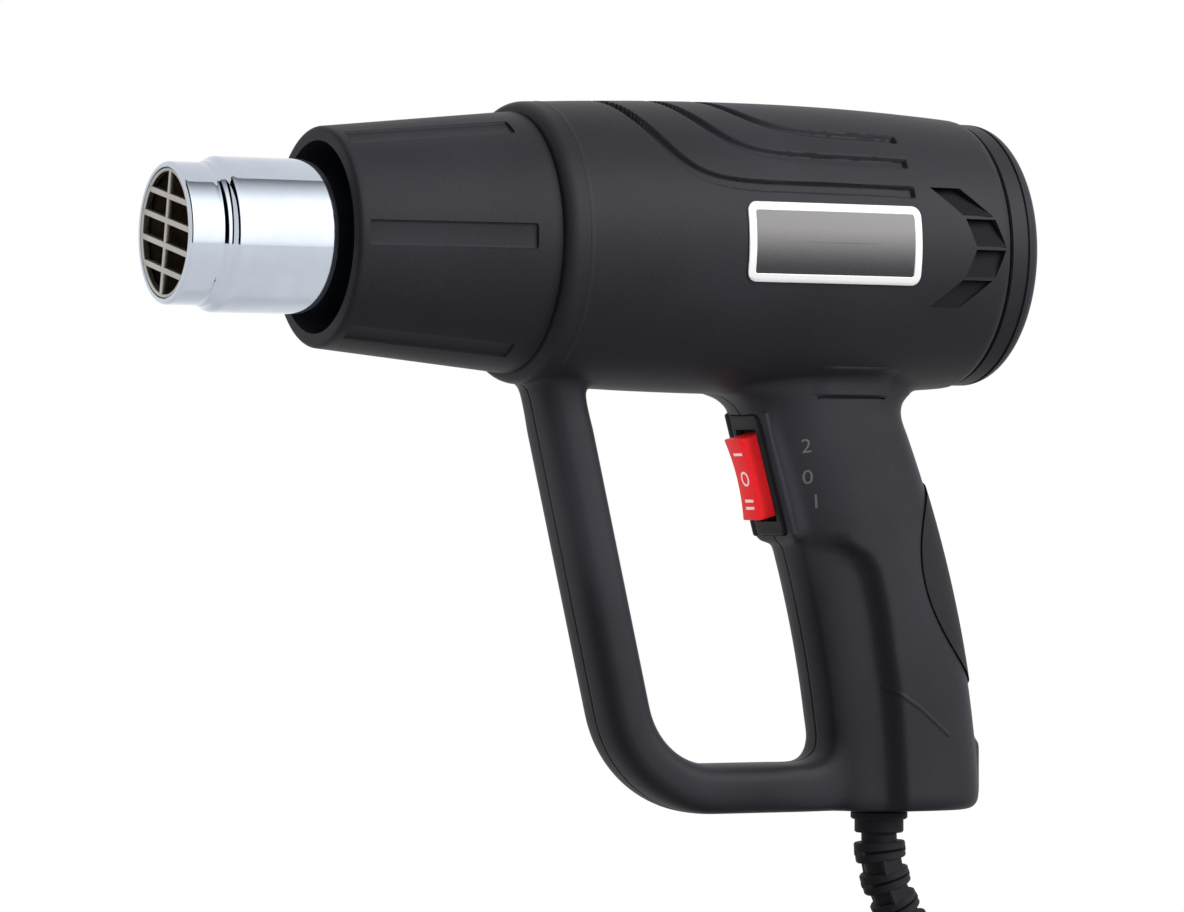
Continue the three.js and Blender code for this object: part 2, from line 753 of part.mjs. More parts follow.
// Flank vents: louvre pockets that open through the wall along their upper edge
function ventCut(side, row) {
  const middle = row * ventPitch - ventHalf;
  const flank = (z) => Math.sqrt(bodyRadiusAt(ventApex) ** 2 - z ** 2);
  const [top, bottom] = [middle + ventHeight / 2, middle - ventHeight / 2];
  const deep = wall + ventBreak;
  const outline = new THREE.Shape();
  outline.moveTo(side * (flank(top) + wall), top);
  outline.lineTo(side * (flank(top) - deep), top);
  outline.lineTo(side * flank(bottom), bottom);
  outline.lineTo(side * (flank(bottom) + wall), bottom);
  const lean = (-2 * middle) / ventBow;
  const x = ventApex - middle ** 2 / ventBow;
  const pocket = alongGeometry(outline, -ventLength / 2, ventLength / 2);
  const shear = new THREE.Matrix4().set(1, 0, lean, x - lean * middle, 0, 1, 0, 0, 0, 0, 1, 0, 0, 0, 0, 1);
  return solid(pocket.applyMatrix4(shear));
}

// Screws that join the halves, at the bosses
const bodyBossZ = ductRadius + bossRadius + 2 * fit;
const screwSites = [
  [bodyX + frontBossSetback, bodyBossZ],
  [capX - rearBossSetback, bodyBossZ],
  [guardX(underside - guardBossDrop), underside - guardBossDrop],
  [
    guardX(bendZ) + guardCorner * (1 - Math.SQRT1_2) - fit,
    barZ + guardCorner * (1 - Math.SQRT1_2) - fit,
  ],
  [gripCentre(underside - gripBossDrop) + gripBossBack, underside - gripBossDrop],
  [gripCentre(baseZ + baseBossRise) + gripBossBack, baseZ + baseBossRise],
];

function crossScrew(name, x, y, z, radius, headRadius, head, length) {
  const outline = [
    [0, -length], [radius, -length], [radius, 0], [headRadius, 0], [headRadius, head], [0, head],
  ];
  const points = outline.map(([r, along]) => new THREE.Vector2(r, along));
  const screw = new THREE.LatheGeometry(points, screwSteps);
  piece(name, solid(screw.translate(x, y, z)), steelFinish());
}

// Housing: one hollow shell with its bosses and ribs, parted into two halves
const far = 2 * bodyRadius;
const clampZ = baseZ + clampRise;
const capacitorZ = baseZ + capacitorRise;
const capacitorX = gripCentre(capacitorZ) + capacitorBack;

function housingHalves() {
  const shroud = onGrip(switchBlock(shroudLength, shroudWidth, shroudCorner, 0, shroudDepth));
  const plain = union(bodySolid(), gripSolid(0), guardSolid(0), shroud);
  const outer = plain.subtract(union(...scoops(scoopHalf, 0)));
  const shroudRoom = onGrip(
    switchBlock(shroudLength - 2 * wall, shroudWidth - 2 * wall, shroudCorner, bezelSunk + wall, shroudDepth),
  );
  const gripRoom = gripSolid(wall).subtract(union(...scoops(scoopHalf - wall, wall)));
  const hollow = union(bodyHollow(), gripRoom, guardSolid(wall), shroudRoom);
  const ribs = [0, ribSpacing].map((step) => {
    const x = frontLipX + ribSetback + step;
    return tubeAlongX(x, x + ribThick, ductRadius + fit, bodyRadiusAt(x) - wall / 2);
  });
  const bosses = screwSites.map(([x, z]) => rodAcross(x, z, bossRadius, -far, far));
  const solids = union(...ribs, outer.intersect(union(...bosses)));
  const seat = onGrip(
    switchBlock(bezelLength + 2 * fit, bezelWidth + 2 * fit, bezelCorner, -bodyRadius / 3, bezelSunk + fit),
  );
  const window = onGrip(
    switchBlock(caseLength + 2 * fit, caseWidth + 2 * fit, bezelCorner, 0, caseDepth + fit),
  );
  const vents = [-1, 1].flatMap((side) => Array.from({ length: ventCount }, (_, row) => ventCut(side, row)));
  const flutes = [-1, 1].flatMap((side) => grooves.map((groove) => grooveCut(side, groove)));
  const padSeat = padLens(fit).subtract(gripSolid(padThick + fit));
  const cordHole = rodUpright(cordX, reliefNeckRadius + fit, baseZ - 1, baseZ + wall + 1);
  const shell = outer
    .subtract(hollow)
    .add(solids)
    .subtract(union(seat, window, padSeat, cordHole, ...vents, ...flutes));

  const tapped = screwSites.map(([x, z]) =>
    rodAcross(x, z, screwRadius + fit, -screwBite - 2 * fit, fit),
  );
  const left = shell
    .intersect(box(0, rearX, -far, -partingGap / 2, 2 * baseZ, far))
    .add(leftFittings(outer))
    .subtract(badgeOutline(fit, -badgeSunk - fit, bodyRadius))
    .subtract(union(...tapped, clampScrewHoles()));
  piece("housing_left", left, housingFinish());

  const drilled = screwSites.flatMap(([x, z]) => [
    rodAcross(x, z, screwRadius + fit, -fit, far),
    rodAcross(x, z, screwHeadRadius + fit, screwSeat, far),
  ]);
  const right = shell
    .intersect(box(0, rearX, partingGap / 2, far, 2 * baseZ, far))
    .subtract(union(...drilled));
  piece("housing_right", right, housingFinish());

  screwSites.forEach(([x, z], i) => {
    const name = `housing_screw_${i + 1}`;
    const seat = screwSeat + fit;
    crossScrew(name, x, seat, z, screwRadius, screwHeadRadius, screwHead, seat + screwBite);
  });
}

// Posts and ledges inside the left half: cord saddle, clamp posts and capacitor ledge
const clampPostXs = [cordX - clampScrewPitch / 2, cordX + clampScrewPitch / 2];

function leftFittings(outer) {
  const posts = clampPostXs.map((x) => rodAcross(x, clampZ, clampPostRadius, -far, cordRadius));
  const [clampLow, clampHigh] = [clampZ - clampHeight / 2, clampZ + clampHeight / 2];
  const saddle = box(
    cordX - cordRadius, cordX + cordRadius, -far, -cordRadius - fit, clampLow, clampHigh,
  );
  const { y, z } = capacitorSize;
  const ledge = box(
    capacitorX - wall, capacitorX + wall, -far, -y / 2 - fit, capacitorZ - z / 3, capacitorZ + z / 3,
  );
  const room = outer.subtract(padLens(2 * fit).subtract(gripSolid(padThick + 2 * fit)));
  return union(...posts, saddle, ledge).intersect(room);
}

const clampScrewHoles = () =>
  union(...clampPostXs.map((x) => rodAcross(x, clampZ, clampScrewRadius + fit, -clampScrewBite - fit, far)));

function gripPad() {
  const skin = gripSolid(-padProud).subtract(gripSolid(padThick));
  piece("grip_pad", skin.intersect(padLens(0)), rubberFinish());
}

// Nozzle, grille and sleeve
function nozzleTube() {
  const lip = [0, 30, 60, 90].map((angle) => [
    mouthLip * (1 - Math.sin(radians(angle))),
    tipRadius - mouthLip * (1 - Math.cos(radians(angle))),
  ]);
  const flangeRadius = nozzleRadius + nozzleFlange;
  const outline = [
    ...lip,
    [0, tipRadius - mouthLip - nozzleWall],
    [nozzleWall, tipRadius - mouthLip - nozzleWall],
    [mouthLip, tipRadius - nozzleWall],
    [tipLength, tipRadius - nozzleWall],
    [tipLength + tipStep, bore],
    [nozzleEndX, bore],
    [nozzleEndX, flangeRadius],
    [nozzleEndX - nozzleWall, flangeRadius],
    [nozzleEndX - nozzleWall, nozzleRadius],
    [tipLength + tipStep, nozzleRadius],
    [tipLength, tipRadius],
  ];
  piece("nozzle_tube", revolve(outline), chromeFinish());
}

function outletGrille() {
  const outerRadius = tipRadius - nozzleWall - fit;
  const x0 = mouthLip + fit;
  const x1 = x0 + grilleDepth;
  const bars = Array.from({ length: grilleCrossBars }, (_, i) => {
    const z = (i - (grilleCrossBars - 1) / 2) * grillePitch;
    const half = Math.sqrt((outerRadius - grilleRing / 2) ** 2 - z ** 2) - grilleBar / 4;
    return box(x0, x1, -half, half, z - grilleBar / 2, z + grilleBar / 2);
  });
  const reach = outerRadius - grilleRing / 2;
  const post = box(x0, x1, -grilleBar / 2, grilleBar / 2, -reach, reach);
  const ring = tubeAlongX(x0, x1, outerRadius - grilleRing, outerRadius);
  const group = new THREE.Group();
  group.rotation.x = radians(grilleTurn);
  tool.add(group);
  piece("outlet_grille", union(ring, post, ...bars), steelFinish(), group);
}

function frontSleeve() {
  const taper = (sleeveRearRadius - sleeveMouthRadius) / sleeveLength;
  const outerAt = (x) => sleeveMouthRadius + taper * (x - sleeveX);
  const rearFace = bodyX - fit;
  const round = [0, 45, 90].map((angle) => [
    sleeveX + sleeveEdge * (1 - Math.sin(radians(angle))),
    outerAt(sleeveX + sleeveEdge) - sleeveEdge * (1 - Math.cos(radians(angle))),
  ]);
  const spigotInner = spigotRadius - spigotWall;
  const outline = [
    [sleeveX, sleeveMouthRadius - sleeveWall],
    ...round.toReversed(),
    [rearFace, outerAt(rearFace)],
    [rearFace, spigotRadius],
    [frontLipX + fit, spigotRadius],
    [frontLipX + fit, spigotRadius + flangeStep],
    [sleeveEndX, spigotRadius + flangeStep],
    [sleeveEndX, spigotInner],
    [rearFace - sleeveWall, spigotInner],
    [rearFace - 2 * sleeveWall, outerAt(rearFace - 2 * sleeveWall) - sleeveWall],
  ];
  const panels = Array.from({ length: panelCount }, (_, i) => {
    const x0 = sleeveX + panelSetback;
    const [r0, r1] = [outerAt(x0), outerAt(x0 + panelLength)];
    const side = new THREE.Shape();
    side.moveTo(x0, r0 - panelDepth);
    side.lineTo(x0 + panelLength, r1 - panelDepth);
    side.lineTo(x0 + panelLength, r1 + 1);
    side.lineTo(x0, r0 + 1);
    const slab = acrossGeometry(side, -panelWidth / 2, panelWidth / 2);
    return solid(slab.rotateX(Math.PI / 2 + (2 * Math.PI * i) / panelCount));
  });
  piece("front_sleeve", revolve(outline).subtract(union(...panels)), housingFinish());
}

// Rear cap: a rounded cover with a slotted intake
function rearCap() {
  const x0 = capX + fit;
  const round = [0, 22.5, 45, 67.5, 90].map((angle) => [
    rearX - capEdge * (1 - Math.sin(radians(angle))),
    capRadius - capEdge * (1 - Math.cos(radians(angle))),
  ]);
  const inner = spigotRadius - spigotWall;
  const beadX = rearLipX - fit;
  const body = revolve([
    [rearX - capWall, 0],
    [rearX - capWall, inner],
    [beadX - flangeThick, inner],
    [beadX - flangeThick, spigotRadius + flangeStep],
    [beadX, spigotRadius + flangeStep],
    [beadX, spigotRadius],
    [x0, spigotRadius],
    [x0, capRadius],
    ...round,
    [rearX, 0],
  ]);
  const slots = Array.from({ length: capSlots }, (_, i) => {
    const z = (i - (capSlots - 1) / 2) * capSlotPitch;
    const edge = Math.abs(z) + capSlotHeight / 2;
    const half = Math.sqrt(capGrilleRadius ** 2 - edge ** 2);
    const [z0, z1] = [z - capSlotHeight / 2, z + capSlotHeight / 2];
    const slot = (y0, y1) => box(rearX - 2 * capWall, rearX + 1, y0, y1, z0, z1);
    return slot(-half, -capMullion / 2).add(slot(capMullion / 2, half));
  });
  piece("rear_cap", body.subtract(union(...slots)), housingFinish());
}

// Heater: a mica cross in a mica liner, wound with a coil
const coreEndX = nozzleEndX - coreTail;
const linerInner = bore - fit - micaThick;

function micaPlate(slotX0, slotX1) {
  const ear = linerInner - fit;
  const [x0, x1] = [coreSetback, coreEndX];
  const slot = micaThick / 2 + fit;
  const outline = new THREE.Shape();
  outline.moveTo(x0, -ear);
  outline.lineTo(x0 + coreEar, -ear);
  outline.lineTo(x0 + coreEar, -coreHalf);
  outline.lineTo(x1 - coreEar, -coreHalf);
  outline.lineTo(x1 - coreEar, -ear);
  outline.lineTo(x1, -ear);
  outline.lineTo(x1, ear);
  outline.lineTo(x1 - coreEar, ear);
  outline.lineTo(x1 - coreEar, coreHalf);
  outline.lineTo(x0 + coreEar, coreHalf);
  outline.lineTo(x0 + coreEar, ear);
  outline.lineTo(x0, ear);
  const plate = extrudeAcross(outline, -micaThick / 2, micaThick / 2);
  return plate.subtract(box(slotX0, slotX1, -micaThick, micaThick, -slot, slot));
}

function heater() {
  const linerX = tipLength + tipStep + linerSetback;
  piece("mica_liner", tubeAlongX(linerX, nozzleEndX, linerInner, bore - fit), micaFinish());
  const middle = (coreSetback + coreEndX) / 2;
  piece("mica_plate_upright", micaPlate(middle - fit, coreEndX + 1), micaFinish());
  const level = new THREE.Group();
  level.rotation.x = Math.PI / 2;
  tool.add(level);
  piece("mica_plate_flat", micaPlate(coreSetback - 1, middle + fit), micaFinish(), level);

  const inside = Math.hypot(coreHalf, micaThick / 2) + fit + coilWire;
  const radius = inside / Math.cos(Math.PI / coilSteps);
  const [x0, x1] = [coreSetback + coilSetback, coreEndX - coilSetback];
  const steps = coilTurns * coilSteps;
  const wire = Array.from({ length: steps + 1 }, (_, i) => {
    const angle = (2 * Math.PI * i) / coilSteps;
    const x = x0 + ((x1 - x0) * i) / steps;
    return new THREE.Vector3(x, radius * Math.cos(angle), radius * Math.sin(angle));
  });
  const pitch = (x1 - x0) / coilTurns;
  console.log(`heater coil: least gap between turns ${(pitch - 2 * coilWire).toFixed(2)} mm`);
  piece("heater_coil", tube(wire, coilWire, wireSides), steelFinish());

  const seat = micaThick / 2 + fit + cutoutRadius;
  const cutout = rodAlongX(coreEndX - coreEar - cutoutLength, coreEndX - coreEar, cutoutRadius, smallSteps);
  const offAxis = new THREE.Group();
  offAxis.position.set(0, seat, seat);
  tool.add(offAxis);
  piece("thermal_cutout", cutout, brassFinish(), offAxis);
}

// Duct with the motor cup on its vanes
const fanX = ductEndX - fanSetback - fanHubLength;
const cupEndX = fanX - fanSetback - screwHeadGap;
const motorEndX = cupEndX - cupWall - fit;
const motorX = motorEndX - motorLength;
const endCapX = motorX - fit - endCapThick;
const cupRadius = motorRadius + fit;
const motorInner = motorRadius - motorWall;
const leadHole = leadRadius + 2 * fit;
const leadHoleX = endCapX - leadHoleBack;

const aroundAxis = (count, make) =>
  Array.from({ length: count }, (_, i) => solid(make().rotateX((2 * Math.PI * i) / count)));

const motorScrewSites = [motorScrewCircle, -motorScrewCircle];

function airDuct() {
  const inner = ductRadius - ductWall;
  const shell = revolve([
    [ductX, bore],
    [ductX + funnelLength, inner],
    [ductEndX, inner],
    [ductEndX, ductRadius],
    [ductX + funnelLength, ductRadius],
    [ductX, bore + ductWall],
  ]);
  const cup = revolve([
    [motorX + cupSetback, cupRadius],
    [cupEndX - cupWall, cupRadius],
    [cupEndX - cupWall, bushRadius + 1],
    [cupEndX, bushRadius + 1],
    [cupEndX, cupRadius + cupWall],
    [motorX + cupSetback, cupRadius + cupWall],
  ], motorSteps);
  const [r0, r1] = [cupRadius + cupWall / 2, ductRadius - ductWall / 2];
  const length = cupEndX - motorX - cupSetback - cupWall;
  const vaneX = motorX + cupSetback + length / 2;
  const vanes = aroundAxis(vaneCount, () =>
    new THREE.BoxGeometry(length, vaneThick, r1 - r0).translate(vaneX, 0, (r0 + r1) / 2),
  );
  const holes = motorScrewSites.map((y) => solid(
    new THREE.CylinderGeometry(motorScrewRadius + fit, motorScrewRadius + fit, 4 * cupWall, screwSteps)
      .rotateZ(Math.PI / 2)
      .translate(cupEndX, y, 0),
  ));
  const leadHoles = [leadHoleX, leadHoleX + leadHoleStep].map((x) =>
    rodUpright(x, leadHole, -ductRadius - 1, -inner + 2 * ductWall),
  );
  piece("air_duct", union(shell, cup, ...vanes).subtract(union(...holes, ...leadHoles)), mouldedFinish());
}

function motor() {
  const can = revolve([
    [motorX, motorInner],
    [motorEndX - motorWall, motorInner],
    [motorEndX - motorWall, bushRadius + fit],
    [motorEndX, bushRadius + fit],
    [motorEndX, motorRadius],
    [motorX, motorRadius],
  ], motorSteps);
  const holes = motorScrewSites.map((y) => solid(
    new THREE.CylinderGeometry(motorScrewRadius + fit, motorScrewRadius + fit, 4 * motorWall, screwSteps)
      .rotateZ(Math.PI / 2)
      .translate(motorEndX, y, 0),
  ));
  piece("motor_can", can.subtract(union(...holes)), steelFinish());
  const endCap = tubeAlongX(endCapX, motorX - fit, bushRadius + fit, motorRadius, motorSteps);
  piece("motor_end_cap", endCap, finish(0xe8e4da, 0.6));
  const bush = (x) => tubeAlongX(x, x + bushLength, shaftRadius + fit, bushRadius, smallSteps);
  piece("motor_bush_front", bush(endCapX + fit), brassFinish());
  piece("motor_bush_rear", bush(motorEndX - bushLength + fit), brassFinish());

  const outside = motorInner - fit;
  const half = radians(magnetSpan) / 2;
  [0, Math.PI].forEach((turn, i) => {
    const arc = new THREE.Shape();
    arc.absarc(0, 0, outside, turn - half, turn + half, false);
    arc.absarc(0, 0, outside - magnetThick, turn + half, turn - half, true);
    const magnet = new THREE.ExtrudeGeometry(arc, {
      depth: armatureLength + magnetOverhang, bevelEnabled: false, curveSegments: 12,
    });
    const x = motorX + armatureSetback - magnetOverhang / 2;
    const placed = magnet.applyMatrix4(alongTurn).translate(x, 0, 0);
    piece(`motor_magnet_${i + 1}`, solid(placed), finish(0x3a3a3c, 0.7));
  });

  motorScrewSites.forEach((y, i) => {
    const length = cupWall + fit + 2 * motorWall;
    const head = cupEndX + fit;
    const headEnd = head + motorScrewRadius;
    const screw = revolve([
      [head - length, 0], [head - length, motorScrewRadius], [head, motorScrewRadius],
      [head, 2 * motorScrewRadius], [headEnd, 2 * motorScrewRadius], [headEnd, 0],
    ], screwSteps);
    const off = new THREE.Group();
    off.position.y = y;
    tool.add(off);
    piece(`motor_screw_${i + 1}`, screw, steelFinish(), off);
  });

  const boardEnd = endCapX - fit;
  const board = rodAlongX(boardEnd - boardThick, boardEnd, boardRadius, motorSteps);
  const diodes = [-1.5, -0.5, 0.5, 1.5].map((place) => {
    const z = place * diodePitch;
    const x = boardEnd - boardThick;
    const [long, thick] = [diodeLength / 2, diodeThick / 2];
    return box(x - diodeThick, x + fit, -long, long, z - thick, z + thick);
  });
  piece("rectifier_board", union(board, ...diodes), finish(0x2f5d3a, 0.6));
}

// What spins: shaft, armature, commutator and fan
function rotor() {
  const hole = shaftRadius + fit;
  const shaft = rodAlongX(endCapX + fit, fanX + fanHubLength + shaftNose, shaftRadius, smallSteps);
  piece("motor_shaft", shaft, steelFinish());
  const armatureX = motorX + armatureSetback;
  const poles = aroundAxis(armaturePoles, () => {
    const wedge = new THREE.Shape();
    const half = Math.PI / armaturePoles - poleGap / armatureRadius;
    wedge.absarc(0, 0, armatureRadius, Math.PI / 2 - half, Math.PI / 2 + half);
    wedge.lineTo(0, 0);
    const pole = new THREE.ExtrudeGeometry(wedge, {
      depth: armatureLength, bevelEnabled: false, curveSegments: 5,
    });
    return pole.applyMatrix4(alongTurn).translate(armatureX, 0, 0);
  });
  const armatureEnd = armatureX + armatureLength;
  const core = rodAlongX(armatureX, armatureEnd, armatureRadius * poleRoot, smallSteps);
  const shaftHole = rodAlongX(armatureX - 1, armatureEnd + 1, hole, smallSteps);
  piece("armature", union(core, ...poles).subtract(shaftHole), copperFinish());
  const brushX = motorX + 1;
  const segments = tubeAlongX(brushX, brushX + commutatorLength, hole, commutatorRadius, smallSteps);
  piece("commutator", segments, copperFinish());

  const tip = ductRadius - ductWall - fanTipGap;
  const root = fanHubRadius - bladeThick;
  const pitch = radians(fanPitch);
  const chord = (fanHubLength - bladeThick) / Math.cos(pitch);
  const blades = aroundAxis(fanBlades, () =>
    new THREE.BoxGeometry(chord, bladeThick, tip - root)
      .rotateZ(pitch)
      .translate(fanX + fanHubLength / 2, 0, (tip + root) / 2),
  );
  const reach = Math.hypot(tip, (chord * Math.sin(pitch)) / 2);
  const trimmed = union(...blades).intersect(rodAlongX(fanX, fanX + fanHubLength, Math.min(tip, reach)));
  const hub = tubeAlongX(fanX, fanX + fanHubLength, hole, fanHubRadius, motorSteps);
  piece("fan_impeller", hub.add(trimmed), mouldedFinish());
}

// Strain relief: a ribbed sleeve that bends as it leaves the base
const reliefTop = baseZ - fit;
const reliefStraight = reliefFlange + reliefCollar;
const reliefEnd = reliefStraight + reliefRibs * (reliefRib + reliefGap);

function reliefPoint(s) {
  const bend = Math.max(s - reliefStraight, 0) / reliefBend;
  const straight = Math.min(s, reliefStraight);
  return {
    point: new THREE.Vector3(
      cordX + reliefBend * (1 - Math.cos(bend)), 0, reliefTop - straight - reliefBend * Math.sin(bend),
    ),
    outwards: new THREE.Vector3(Math.cos(bend), 0, Math.sin(bend)),
    along: new THREE.Vector3(Math.sin(bend), 0, -Math.cos(bend)),
  };
}

const reliefTip = reliefPoint(reliefEnd + fit);

function reliefRing(s, radius) {
  const { point, outwards } = reliefPoint(s);
  return Array.from({ length: reliefSides }, (_, i) => {
    const angle = (2 * Math.PI * i) / reliefSides;
    return point
      .clone()
      .addScaledVector(outwards, radius * Math.cos(angle))
      .addScaledVector(across, radius * Math.sin(angle));
  });
}

function strainRelief() {
  const inside = -fit - wall - fit;
  const stations = [
    [inside - reliefFlange, reliefCollarRadius],
    [inside, reliefCollarRadius],
    [inside, reliefNeckRadius],
    [0, reliefNeckRadius],
    [0, reliefFlangeRadius],
    [reliefFlange, reliefFlangeRadius],
    [reliefFlange, reliefCollarRadius],
    [reliefStraight, reliefCollarRadius],
    [reliefStraight, reliefNeckRadius],
  ];
  for (let i = 0; i < reliefRibs; i++) {
    const s0 = reliefStraight + reliefGap + i * (reliefRib + reliefGap);
    const radius = reliefRibRadius - (reliefTaper * i) / reliefRibs;
    stations.push([s0, reliefNeckRadius], [s0, radius], [s0 + reliefRib, radius]);
    if (i + 1 < reliefRibs) stations.push([s0 + reliefRib, reliefNeckRadius]);
  }
  piece("strain_relief", loft(stations.map(([s, radius]) => reliefRing(s, radius))), rubberFinish());
}

// Cord inside the handle, its clamp and the suppressor
function handleFittings() {
  const innerZ = baseZ + wall + fit + reliefFlange + fit;
  piece("cord_inner", rodUpright(cordX, cordRadius, innerZ, innerZ + innerCordLength), rubberFinish());
  const y0 = cordRadius + fit;
  const [long, high] = [clampLength / 2, clampHeight / 2];
  const strap = box(cordX - long, cordX + long, y0, y0 + clampThick, clampZ - high, clampZ + high);
  piece("cord_clamp", strap.subtract(clampScrewHoles()), mouldedFinish());
  clampPostXs.forEach((x, i) => {
    const seat = y0 + clampThick + fit;
    const length = seat + clampScrewBite;
    const name = `clamp_screw_${i + 1}`;
    crossScrew(name, x, seat, clampZ, clampScrewRadius, 2 * clampScrewRadius, clampScrewRadius, length);
  });
  const { x, y, z } = capacitorSize;
  const block = box(
    capacitorX - x / 2, capacitorX + x / 2, -y / 2, y / 2, capacitorZ - z / 2, capacitorZ + z / 2,
  );
  piece("suppressor_capacitor", block, finish(0xd9b13b, 0.5));
}

// Leads, along points chosen by hand between the ends that they join
function lead(name, color, points) {
  const curve = new THREE.CatmullRomCurve3(points);
  const steps = 3 * (points.length - 1);
  piece(name, tube(curve.getSpacedPoints(steps), leadRadius, wireSides), finish(color, 0.5));
}

function leads() {
  const terminal = (place, back, rise = 0) =>
    new THREE.Vector3(caseDepth + 2 * fit + terminalLength + back, 0, place * terminalPitch + rise)
      .applyMatrix4(switchPlace);
  const at = (x, y, z) => new THREE.Vector3(x, y, z);
  const inGrip = ([back, y, drop]) => at(gripCentre(underside - drop) + back, y, underside - drop);
  const underDuct = (from, holeX) => ([share, y]) =>
    at(from.x + (holeX - from.x) * share, y, -ductRadius - leadClear);
  const throughHole = (x) => [
    at(x + leadRadius / 2, 0, -ductRadius - 2 * leadRadius), at(x, 0, -ductRadius + ductWall),
    at(x - leadRadius / 2, 0, -ductRadius + leadRise),
  ];
  const cordTop = baseZ + wall + reliefFlange + innerCordLength + 3 * fit;
  const boardX = endCapX - boardThick;
  const neutralX = leadHoleX + leadHoleStep;
  const half = cordRadius / 2;
  lead("lead_live", 0x7a4a2a, [
    terminal(-1, 0), terminal(-1, leadClear, -1), ...liveInGrip.map(inGrip),
    at(cordX - half, -half, cordTop + leadClear), at(cordX - half, -half, cordTop),
  ]);
  const neutralUp = neutralInGrip.map(inGrip);
  lead("lead_neutral", 0x2f4f8a, [
    at(cordX, half, cordTop), at(cordX - leadRadius, half, cordTop + leadClear), ...neutralUp,
    ...neutralUnderDuct.map(underDuct(neutralUp.at(-1), neutralX)), ...throughHole(neutralX),
    at(boardX - boardReach, 0, -boardTap), at(boardX - 2 * fit, 0, -boardTap),
  ]);
  const heaterUp = heaterInGrip.map(inGrip);
  lead("lead_heater", 0x8a2f2f, [
    terminal(1, 0), terminal(1, leadClear, 2), ...heaterUp,
    ...heaterUnderDuct.map(underDuct(heaterUp.at(-1), leadHoleX)), ...throughHole(leadHoleX),
    ...coreReach.map((back) => at(coreEndX + back, 0, -coreTap)), at(coreEndX + fit, 0, -coreTap),
  ]);
}

// Cord: a short drop, a coil put away under the handle, and a tail to the plug
const coilTurn = radians(coilLoops * 360 + coilTailHeading - coilHeading);
const coilOuter = coilInner + (coilPitch * coilTurn) / (2 * Math.PI * coilLayers);
const dropPoints = dropSteps.map((step) => reliefTip.point.clone().add(new THREE.Vector3(...step)));
const dropEnd = dropPoints.at(-1);
const headingAt = (degrees) => new THREE.Vector3(Math.cos(radians(degrees)), Math.sin(radians(degrees)), 0);
const coilEntry = dropEnd.clone().addScaledVector(headingAt(coilHeading), 2 * cordRadius + fit);
const coilCentre = coilEntry.clone().addScaledVector(headingAt(coilHeading + 90), coilOuter);
const coilFloor = coilCentre.z - (coilLayers - 1) * coilPitch;

function coilRoute() {
  const steps = Math.round((loopSteps * coilTurn) / (2 * Math.PI));
  const turns = Array.from({ length: steps + 1 }, (_, i) => {
    const turn = (coilTurn * i) / steps;
    const layer = (coilLayers * i) / steps;
    const inwards = 1 - Math.abs(1 - (layer % 2));
    const radius = coilOuter - (coilOuter - coilInner) * inwards;
    let z = coilCentre.z;
    for (let k = 1; k < coilLayers; k++) {
      const reversal = (coilTurn * k) / coilLayers;
      z -= coilPitch * THREE.MathUtils.smoothstep(turn, reversal - Math.PI / 2, reversal + Math.PI / 2);
    }
    const angle = radians(coilHeading - 90) + turn;
    return new THREE.Vector3(Math.cos(angle) * radius, Math.sin(angle) * radius, z)
      .add(new THREE.Vector3(coilCentre.x, coilCentre.y, 0));
  });
  const first = dropEnd.clone().addScaledVector(headingAt(coilHeading), fit);
  const last = turns.at(-1).clone().addScaledVector(headingAt(coilTailHeading), 2 * cordRadius);
  return [first, ...turns, last];
}

// The least distance between a tube's turns, from its points.
function leastGap(points, radius, apart) {
  let least = Infinity;
  for (let i = 0; i < points.length; i++) {
    for (let j = i + apart; j < points.length; j++) {
      least = Math.min(least, points[i].distanceTo(points[j]));
    }
  }
  return least - 2 * radius;
}

function cord() {
  const [inWay, outWay] = [headingAt(coilHeading), headingAt(coilTailHeading)];
  const drop = new THREE.CatmullRomCurve3([reliefTip.point, ...dropPoints]);
  const hanging = tube(drop.getSpacedPoints(8), cordRadius, cordSides, reliefTip.along, inWay);
  piece("cord_drop", hanging, rubberFinish());
  const route = coilRoute();
  const gap = leastGap(route, cordRadius, loopSteps / 2);
  console.log(`cord coil: least gap between turns ${gap.toFixed(2)} mm`);
  piece("cord_coil", tube(route, cordRadius, coilSides, inWay, outWay), rubberFinish());
  const tailStart = route.at(-1).clone().addScaledVector(outWay, fit);
  const plugEntry = tailStart.clone().addScaledVector(outWay, tailLength);
  plugEntry.z = coilFloor - cordRadius - fit - tieThick + plugThick / 2;
  const rise = (share) => tailStart.clone().lerp(plugEntry, share);
  const bent = [rise(0), rise(0.3), rise(0.7), rise(1)];
  bent[1].z = tailStart.z + (plugEntry.z - tailStart.z) * 0.2;
  bent[2].z = tailStart.z + (plugEntry.z - tailStart.z) * 0.8;
  const tail = new THREE.CatmullRomCurve3(bent).getSpacedPoints(6);
  piece("cord_tail", tube(tail, cordRadius, cordSides, outWay, outWay), rubberFinish());
  plug(plugEntry);
  cordTie();
}

function cordTie() {
  const sag = tieWidth ** 2 / (8 * coilInner);
  const width = coilOuter - coilInner + 2 * (cordRadius + fit + sag);
  const height = (coilLayers - 1) * coilPitch + 2 * (cordRadius + fit);
  const band = roundedRectangle(width + 2 * tieThick, height + 2 * tieThick, cordRadius);
  band.holes.push(roundedRectangle(width, height, cordRadius - tieThick));
  const group = new THREE.Group();
  group.position.set(coilCentre.x, coilCentre.y, coilCentre.z - ((coilLayers - 1) * coilPitch) / 2);
  group.rotation.z = radians(tieAngle);
  tool.add(group);
  const strap = acrossGeometry(band, -tieWidth / 2, tieWidth / 2);
  piece("cord_tie", solid(strap.translate((coilOuter + coilInner) / 2, 0, 0)), mouldedFinish(), group);
}

